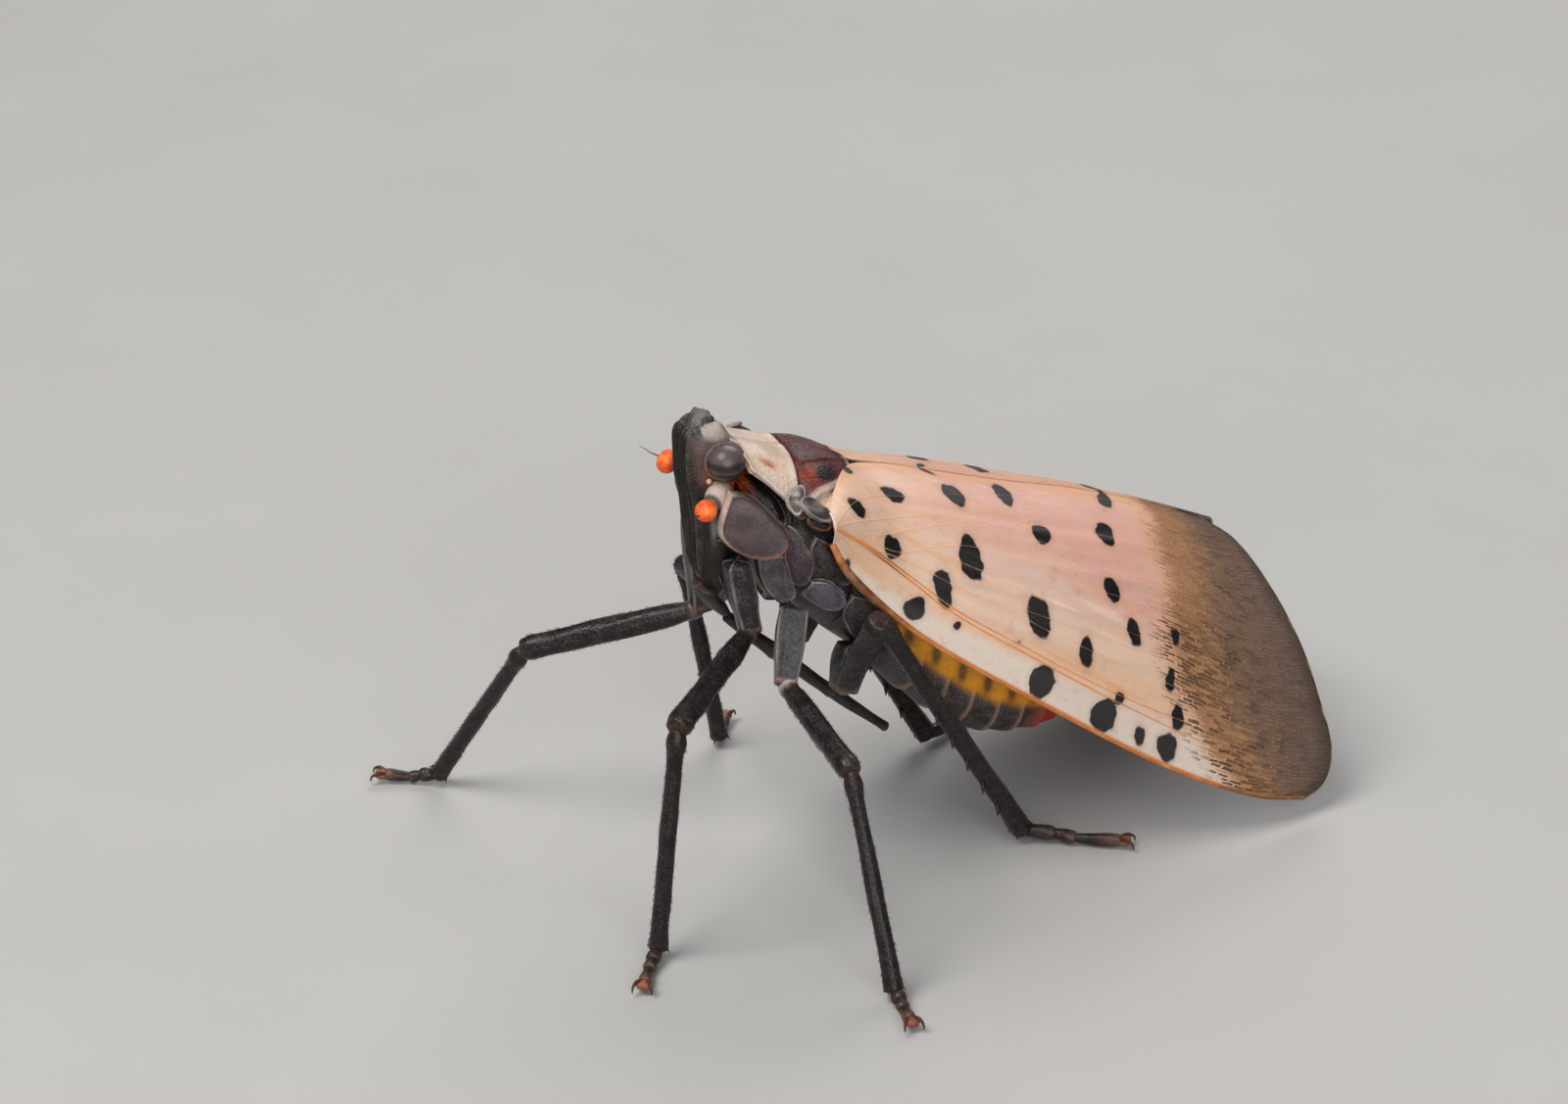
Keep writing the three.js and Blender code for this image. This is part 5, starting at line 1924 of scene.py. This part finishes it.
@dataclass
class Hindwing:
    """The folded hindwing under a forewing, in narrow pleats."""

    above: Forewing
    start: float = 0.22
    stop: float = 0.84
    low: float = 0.34
    high: float = 0.88
    depth: float = 0.9
    pleats: int = 13

    def place(self, u: Array, v: Array) -> Array:
        """A pleated sheet that follows the forewing.

        Args:
            u: shares of the grid's first side.
            v: shares of its second side.

        Returns:
            The places.
        """
        s = self.start + u * (self.stop - self.start)
        taper = 1 - 0.6 * ease(u, 0.68, 1.0) ** 2
        w = (self.low + self.high) / 2 + (v - 0.5) * (self.high - self.low) * taper
        fold = 0.07 * np.abs(((v * self.pleats) % 1.0) - 0.5) * 4 - 0.07
        return self.above.surface(s, w) - self.above.normal(s, w) * (self.depth + 0.2 + fold)[:, None]

    def layers(self, u: Array, v: Array, p: Array) -> Paint:
        """Red with black spots near the root, then a white band and a black end, with painted shade along each pleat's
        fold.

        Args:
            u: shares of the grid's first side.
            v: shares of its second side.
            p: the places in mm, not used.

        Returns:
            The layers, by name.
        """
        tint = ink(196, 40, 28)
        lump = waves(np.stack([u * 9, v * 5, 0 * u], -1), 0.34, 31)
        tint = blend(ease(lump, 0.55, 0.62) * ease(u, 0.02, 0.1), tint, ink(28, 18, 16))
        tint = blend(ease(u, 0.6, 0.64), tint, ink(216, 204, 190))
        tint = blend(ease(u + 0.05 * v, 0.74, 0.78), tint, ink(40, 32, 30))
        # Painted shade: each pleat's fold is a quarter darker.
        painted_crease_shade = ridge((v * self.pleats) % 1.0, 0.5, 0.12)
        return coat(len(u), tint * (1 - 0.25 * painted_crease_shade[:, None]), 0.0, 0.5)

    def build(self, skins: Skins) -> None:
        """Makes and dresses both hindwings.

        Args:
            skins: the finishes, by name.
        """
        left = sheet("hindwing_skin_left", self.place, 90, 156, self.layers, (1, 0, 1), 0.05)
        for side, piece in zip(Side, (left, mirrored(left, "hindwing_skin_right"))):
            settle(piece, skins["hind"], [f"hindwing_{side.label}"])


# The legs

@dataclass
class Leg:
    """One leg: coxa, trochanter, femur, tibia, a foot of three joints, claws, a pad and bristles."""

    name: str
    coxa: tuple[Point, Point]
    knee: Point
    ankle: Point
    foot: tuple[Point, Point]
    coxa_radii: tuple[float, float]
    femur_radii: tuple[float, float]
    tibia_radii: tuple[float, float]
    foot_radius: float
    swell: float = 1.0
    box: float = 2.6
    spines: int = 0
    # How strong the pale band on the trochanter is: a painted highlight.
    pale: float = 0.15

    def across(self, start: Array, end: Array) -> Point:
        """An axis that is well away from a part's own direction."""
        way = np.abs(unit(end - start))
        return (0, 0, 1) if way[2] < 0.8 else (1, 0, 0)

    def rod(self, name: str, stops: Sequence[Array], radii: Pairs, layers: Layers,
            rows: int = 60, around: int = 40, facing: Point | None = None, **shape: Any) -> tuple[Piece, Rod]:
        """Makes one part of the leg.

        Args:
            name: the piece's name.
            stops: the places that the part runs through.
            radii: shares of its length with the radius there.
            layers: gives the paint.
            rows: faces along u.
            around: faces round the part.
            facing: an axis across it.
            shape: the rod's other fields.

        Returns:
            The piece and its rod.
        """
        first, last = np.array(stops[0]), np.array(stops[-1])
        rod = Rod(Route(stops), radii, facing or self.across(first, last), **shape)
        return lay(name, rod.place, rows, around, layers, closed=True), rod

    def build(self, skins: Skins) -> None:
        """Makes and dresses the leg.

        Args:
            skins: the finishes, by name.
        """
        a, b = (np.array(p, float) for p in self.coxa)
        knee, ankle = np.array(self.knee, float), np.array(self.ankle, float)
        toe_start, toe = (np.array(p, float) for p in self.foot)
        thigh = unit(knee - b)
        shin = unit(ankle - knee)
        parts = []

        def dark(dust: float, joint: float = 0.0, end: float = 0.0) -> Layers:
            """Black-brown, browner at the joints."""

            def layers(u: Array, v: Array, p: Array) -> Paint:
                """The part's paint."""
                tint = ink(24, 20, 19)
                tint = blend(ease(u, 0.14, 0.02) * joint, tint, ink(110, 70, 46))
                tint = blend(ease(u, 0.86, 0.98) * end, tint, ink(110, 66, 42))
                return coat(len(u), tint, dust, 0.7)

            return layers

        def silver(u: Array, v: Array, p: Array) -> Paint:
            """The coxa: dark with silver dust and a pale lower ring."""
            tint = blend(ease(u, 0.0, 0.5), ink(26, 22, 21), ink(40, 38, 39))
            edge = ridge(np.abs(((v * 4) % 1.0) - 0.5), 0.0, 0.07) * (0.75 + 0.35 * waves(p, 0.9, 27)).clip(0.1, 1)
            tint = blend(0.75 * edge, tint, ink(150, 142, 136))
            tint = blend(ridge(u, 0.88, 0.025), tint, ink(112, 78, 60))
            return coat(len(u), tint, 0.6, 0.75)

        r0, r1 = self.coxa_radii
        piece, _ = self.rod("coxa", [a, (a + b) / 2, b], [(0, r0 * 0.9), (0.3, r0), (0.8, r1), (1, r1 * 0.92)], silver,
                            84, 64, facing=(math.copysign(0.9, b[0]), -0.42, 0.0) if self.box > 3 else None,
                            corners=self.box, wide=1.05, keels=4, keel_height=0.05, twist=math.pi / 4)
        parts.append(piece)
        f0, f1 = self.femur_radii
        hip = b + thigh * 0.05
        # The trochanter's pale grey band is a painted highlight, as strong as pale says.
        piece, _ = self.rod("trochanter", [b - unit(b - a) * 0.1, hip + thigh * 0.2, hip + thigh * 0.5],
                            [(0, f0 * 0.8), (0.5, f0 * 0.98), (1, f0 * 0.8)],
                            lambda u, v, p: coat(len(u), blend(ridge(u, 0.45, 0.2) * self.pale, ink(52, 34, 27),
                                                               ink(168, 156, 150)), 0.2, 1.0), 24, 36)
        parts.append(piece)
        piece, femur = self.rod("femur", [hip + thigh * 0.35, (hip + knee) / 2, knee],
                                [(0, f0 * 0.8), (0.12, f0), (0.5, (f0 + f1) / 2 * self.swell), (0.85, f1 * 0.98),
                                 (0.95, f1 * 1.04), (1, f1 * 0.9)],
                                dark(0.35, 0.35, 0.12), 90, 44, corners=2.4, keels=4, keel_height=0.02)
        parts.append(piece)
        t0, t1 = self.tibia_radii
        piece, tibia = self.rod("tibia", [knee + shin * 0.12, (knee + ankle) / 2, ankle],
                                [(0, t0 * 0.75), (0.05, t0 * 1.05), (0.12, t0 * 0.86), (0.5, t0 * 0.9), (0.9, t1),
                                 (1, t1 * 1.12)],
                                dark(0.25, 0.15, 0.1), 110, 44, corners=2.9, keels=4, keel_height=0.025)
        parts.append(piece)
        r = self.foot_radius
        run = Route([ankle + shin * 0.06, (ankle + toe_start * 2) / 3 + np.array([0, 0, 0.03]), toe_start, toe])
        for index, (s, e, thick) in enumerate(((0.0, 0.3, 0.92), (0.28, 0.5, 0.82), (0.48, 0.93, 0.8))):
            stretch = Route(run.at(np.linspace(s, e, 6)))
            rod = Rod(stretch, [(0, r * thick * 0.62), (0.25, r * thick * 0.8), (0.8, r * thick), (1, r * thick * 0.9)],
                      self.across(stretch.line[0], stretch.line[-1]), caps=(0.05, 0.05))
            brown = 0.25 + 0.35 * index
            parts.append(lay(f"foot_{index}", rod.place, 30, 32,
                             lambda u, v, p, brown=brown: coat(len(u), blend(ease(u, 0.4, 1.0) * brown, ink(34, 27, 24),
                                                                            ink(92, 60, 46)), 0.3, 0.6), closed=True))
        parts += self.claws(run)
        parts.append(self.bristles(femur, tibia))
        leg = join(f"leg_{self.name}", parts)
        mesh = leg.data
        co = coordinates(leg)
        co[:, 2] = np.maximum(co[:, 2], GROUND)
        mesh.vertices.foreach_set("co", co.ravel())
        mesh.update()
        settle(leg, skins["leg"], [f"{part}_{self.name}" for part in ("coxa", "femur", "tibia", "tarsus")])

    def claws(self, run: Route) -> list[Piece]:
        """The two curved claws and the pad between them.

        Args:
            run: the foot's line.

        Returns:
            The claws and the pad.
        """
        end = run.at(np.array([0.93]))[0]
        way = unit(run.line[-1] - run.line[-40])
        side = unit(np.cross(way, UP))
        lines, radii = [], []
        for sign in (-1, 1):
            stops = [end + side * 0.05 * sign, end + way * 0.22 + side * 0.2 * sign + np.array([0, 0, 0.1]),
                     end + way * 0.42 + side * 0.28 * sign,
                     end + way * 0.46 + side * 0.29 * sign + np.array([0, 0, -0.16])]
            lines.append(Route(stops).at(np.linspace(0, 1, 16)))
            radii.append(np.linspace(0.1, 0.02, 16))
        hooks = strands("claws", lines, radii, 2)
        paint(hooks, coat(len(hooks.data.vertices), ink(70, 40, 28), 0.0, 0.8))
        rod = Rod(Route([end - way * 0.05, end + way * 0.15 + np.array([0, 0, -0.02]), end + way * 0.3]),
                  [(0, 0.1), (0.5, 0.15), (1, 0.13)], (0, 0, 1), wide=1.5, caps=(0.02, 0.06))
        pad = lay("pad", rod.place, 20, 28, lambda u, v, p: coat(len(u), ink(120, 72, 50), 0.2, 0.4), closed=True)
        return [hooks, pad]

    def bristles(self, femur: Rod, tibia: Rod) -> Piece:
        """Fine bristles over femur and tibia, spines on the hind shin and a crown of spurs at its end.

        Args:
            femur: the femur's rod.
            tibia: the tibia's rod.

        Returns:
            The piece.
        """
        rng = np.random.default_rng(len(self.name) * 7 + int(abs(self.knee[0]) * 10))
        lines, radii = [], []
        for rod, count in ((femur, 420), (tibia, 460)):
            t, turn = rng.uniform(0.05, 0.98, count), rng.uniform(0, 1, count)
            root = rod.centre(t) + rod.spoke(t, turn) * 0.97
            out = unit(rod.spoke(t, turn)) * 0.55 + rod.route.heading(t) * 0.9
            size = rng.uniform(0.08, 0.15, count)[:, None]
            tip = root + unit(out) * size
            middle = root + (tip - root) * 0.5 + unit(rod.spoke(t, turn)) * size * 0.08
            for a, b, c in zip(root, middle, tip):
                lines.append(np.stack([a, b, c]))
                radii.append([0.007, 0.005, 0.002])
        if self.spines:
            t = np.linspace(0.4, 0.84, self.spines)
            turn = np.full(self.spines, 0.12)
            root = tibia.centre(t) + tibia.spoke(t, turn) * 0.8
            out = unit(tibia.spoke(t, turn)) * 0.8 + tibia.route.heading(t) * 0.5
            for a, way in zip(root, unit(out)):
                lines.append(np.stack([a, a + way * 0.22, a + way * 0.42]))
                radii.append([0.1, 0.06, 0.01])
        crown = np.linspace(0, 1, 6 if self.spines else 4, endpoint=False) + 0.1
        t = np.full(len(crown), 0.98)
        root = tibia.centre(t) + tibia.spoke(t, crown) * 0.85
        out = unit(tibia.spoke(t, crown)) * 0.45 + tibia.route.heading(t) * 0.8
        for a, way in zip(root, unit(out)):
            lines.append(np.stack([a, a + way * 0.12, a + way * 0.26]))
            radii.append([0.06, 0.04, 0.01])
        piece = strands("bristles", lines, radii)
        paint(piece, coat(len(piece.data.vertices), ink(40, 32, 28), 0.0, 0.5))
        return piece


def legs() -> list[Leg]:
    """The six legs as they stand in this pose.

    Returns:
        The legs.
    """
    fore = dict(coxa_radii=(0.42, 0.34), femur_radii=(0.33, 0.37), tibia_radii=(0.27, 0.25), foot_radius=0.25)
    mid = dict(coxa_radii=(0.46, 0.36), femur_radii=(0.32, 0.35), tibia_radii=(0.26, 0.25), foot_radius=0.25)
    hind = dict(coxa_radii=(0.5, 0.42), femur_radii=(0.36, 0.4), tibia_radii=(0.3, 0.3), foot_radius=0.27)

    return [
        Leg("fore_left", ((1.62, 0.95, 10.75), (1.6, 1.4, 8.4)), (4.9, -2.3, 7.5), (5.41, -3.2, 0.42),
            ((6.1, -3.75, 0.24), (7.0, -4.3, 0.3)), **fore),
        Leg("fore_right", ((-1.62, 0.95, 10.75), (-1.75, 1.15, 7.6)), (-4.2, -3.8, 5.95), (-7.15, -5.75, 0.42),
            ((-7.6, -6.5, 0.24), (-8.05, -7.35, 0.3)), swell=1.1, **fore),
        # The mid left leg carries a strong painted highlight on its trochanter (pale=0.9).
        Leg("mid_left", ((2.2, 2.6, 9.1), (3.15, 1.9, 7.2)), (7.6, 2.1, 6.5), (10.3, 2.36, 0.42),
            ((11.1, 2.3, 0.24), (11.95, 2.18, 0.3)), box=4.0, pale=0.9, **mid),
        Leg("mid_right", ((-2.2, 2.6, 9.1), (-2.85, 2.1, 7.3)), (-6.0, 2.3, 6.9), (-5.95, 3.45, 0.42),
            ((-6.6, 3.8, 0.24), (-7.3, 4.2, 0.3)), box=4.0, **mid),
        Leg("hind_left", ((1.75, 4.75, 7.2), (1.9, 4.35, 5.9)), (3.75, 4.75, 9.05), (3.35, 9.85, 0.48),
            ((4.2, 11.3, 0.26), (5.05, 12.7, 0.3)), spines=5, **hind),
        Leg("hind_right", ((-1.75, 4.75, 7.2), (-1.9, 4.35, 5.9)), (-3.75, 4.75, 9.05), (-3.35, 9.6, 0.48),
            ((-4.1, 11.1, 0.26), (-4.9, 12.5, 0.3)), spines=5, **hind),
    ]


# The studio

@dataclass
class Studio:
    """The pale floor, the soft lights and the camera."""

    eye_mm: Point = (122.59, -48.84, 77.79)
    azimuth: float = 67.0
    elevation: float = 27.0
    lens: float = 112.5

    def build(self) -> None:
        """Sets everything up round the insect."""
        bpy.ops.object.select_all(action="DESELECT")
        bpy.ops.mesh.primitive_plane_add(size=FLOOR_SIZE)
        floor = bpy.context.active_object
        floor.name = floor.data.name = "floor"
        floor.data.materials.append(self.floor_finish())
        self.lamp("key", (0.02, -0.14, 0.26), 0.16, 0.82, (1.0, 0.97, 0.93))
        self.lamp("fill", (0.26, -0.06, 0.13), 0.24, 0.62, (0.96, 0.98, 1.0))
        self.lamp("back", (-0.18, 0.14, 0.2), 0.2, 0.42, (1.0, 0.98, 0.95))
        world = bpy.data.worlds.new("studio")
        world.use_nodes = True
        world.node_tree.nodes["Background"].inputs["Color"].default_value = (0.9, 0.93, 1.0, 1.0)
        world.node_tree.nodes["Background"].inputs["Strength"].default_value = 0.15
        bpy.context.scene.world = world
        bpy.context.scene.view_settings.view_transform = "Standard"
        self.camera()

    def floor_finish(self) -> Finish:
        """A plain pale floor with a faint grain.

        Returns:
            The material.
        """
        finish, sketch, shader, where = fresh("floor")
        base = sketch.mix(sketch.noise(where, 60.0, 4.0), (0.35, 0.345, 0.335, 1), (0.41, 0.405, 0.395, 1))
        sketch.feed(shader, {"Base Color": base, "Roughness": 0.7})
        return finish

    def lamp(self, name: str, place: Point, size: float, power: float, tone: Point) -> None:
        """Adds a soft square lamp that looks at the insect.

        Args:
            name: the lamp's name.
            place: its place in metres.
            size: its side in metres.
            power: its power in watts.
            tone: its colour.
        """
        light = bpy.data.lights.new(name, "AREA")
        light.size, light.energy, light.color = size, power, tone
        lamp = bpy.data.objects.new(name, light)
        bpy.context.collection.objects.link(lamp)
        lamp.location = place
        lamp.rotation_euler = (Vector((0, 0, 0.007)) - Vector(place)).to_track_quat("-Z", "Y").to_euler()

    def camera(self) -> None:
        """Sets the camera where the photograph was taken from."""
        lens = bpy.data.cameras.new("camera")
        lens.lens, lens.sensor_width = self.lens, 36.0
        lens.clip_start, lens.clip_end = 0.005, 5.0
        camera = bpy.data.objects.new("camera", lens)
        bpy.context.collection.objects.link(camera)
        camera.location = ROW @ Vector(self.eye_mm)
        camera.rotation_euler = (math.radians(90 - self.elevation), 0, math.radians(self.azimuth))
        bpy.context.scene.camera = camera


def main() -> None:
    """Builds the pieces in order and writes down how large the dressed model is."""
    logging.basicConfig(level=logging.INFO, format="%(name)s: %(message)s")
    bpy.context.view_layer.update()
    skins = {"cuticle": Cuticle("cuticle").make(),
             "face": Cuticle("face", grain=8.0, relief=0.03, mottle=0.5, shine=0.22).make(),
             "flank": Cuticle("flank", grain=9.0, relief=0.022, mottle=0.6, shine=0.2, dust=(118, 112, 112)).make(),
             "leg": Cuticle("leg", grain=7.0, relief=0.02, mottle=0.5, rough=0.46, shine=0.2, dust=(92, 88, 86)).make(),
             "pale": Cuticle("collar_plate", grain=6.0, relief=0.03, mottle=0.22, mirror=0.4,
                             dust=(176, 146, 126)).make(),
             "eye": EyeGloss().make(), "bulb": BulbGrain().make(), "wing": WingSkin().make(),
             "vein": VeinSkin().make(), "hind": HindSkin().make()}
    Head().build(skins)
    Thorax().build(skins)
    Abdomen().build(skins)
    wing = Forewing()
    wing.build(skins)
    Hindwing(wing).build(skins)
    for leg in legs():
        leg.build(skins)
    Studio().build()


if __name__ == "__main__":
    main()
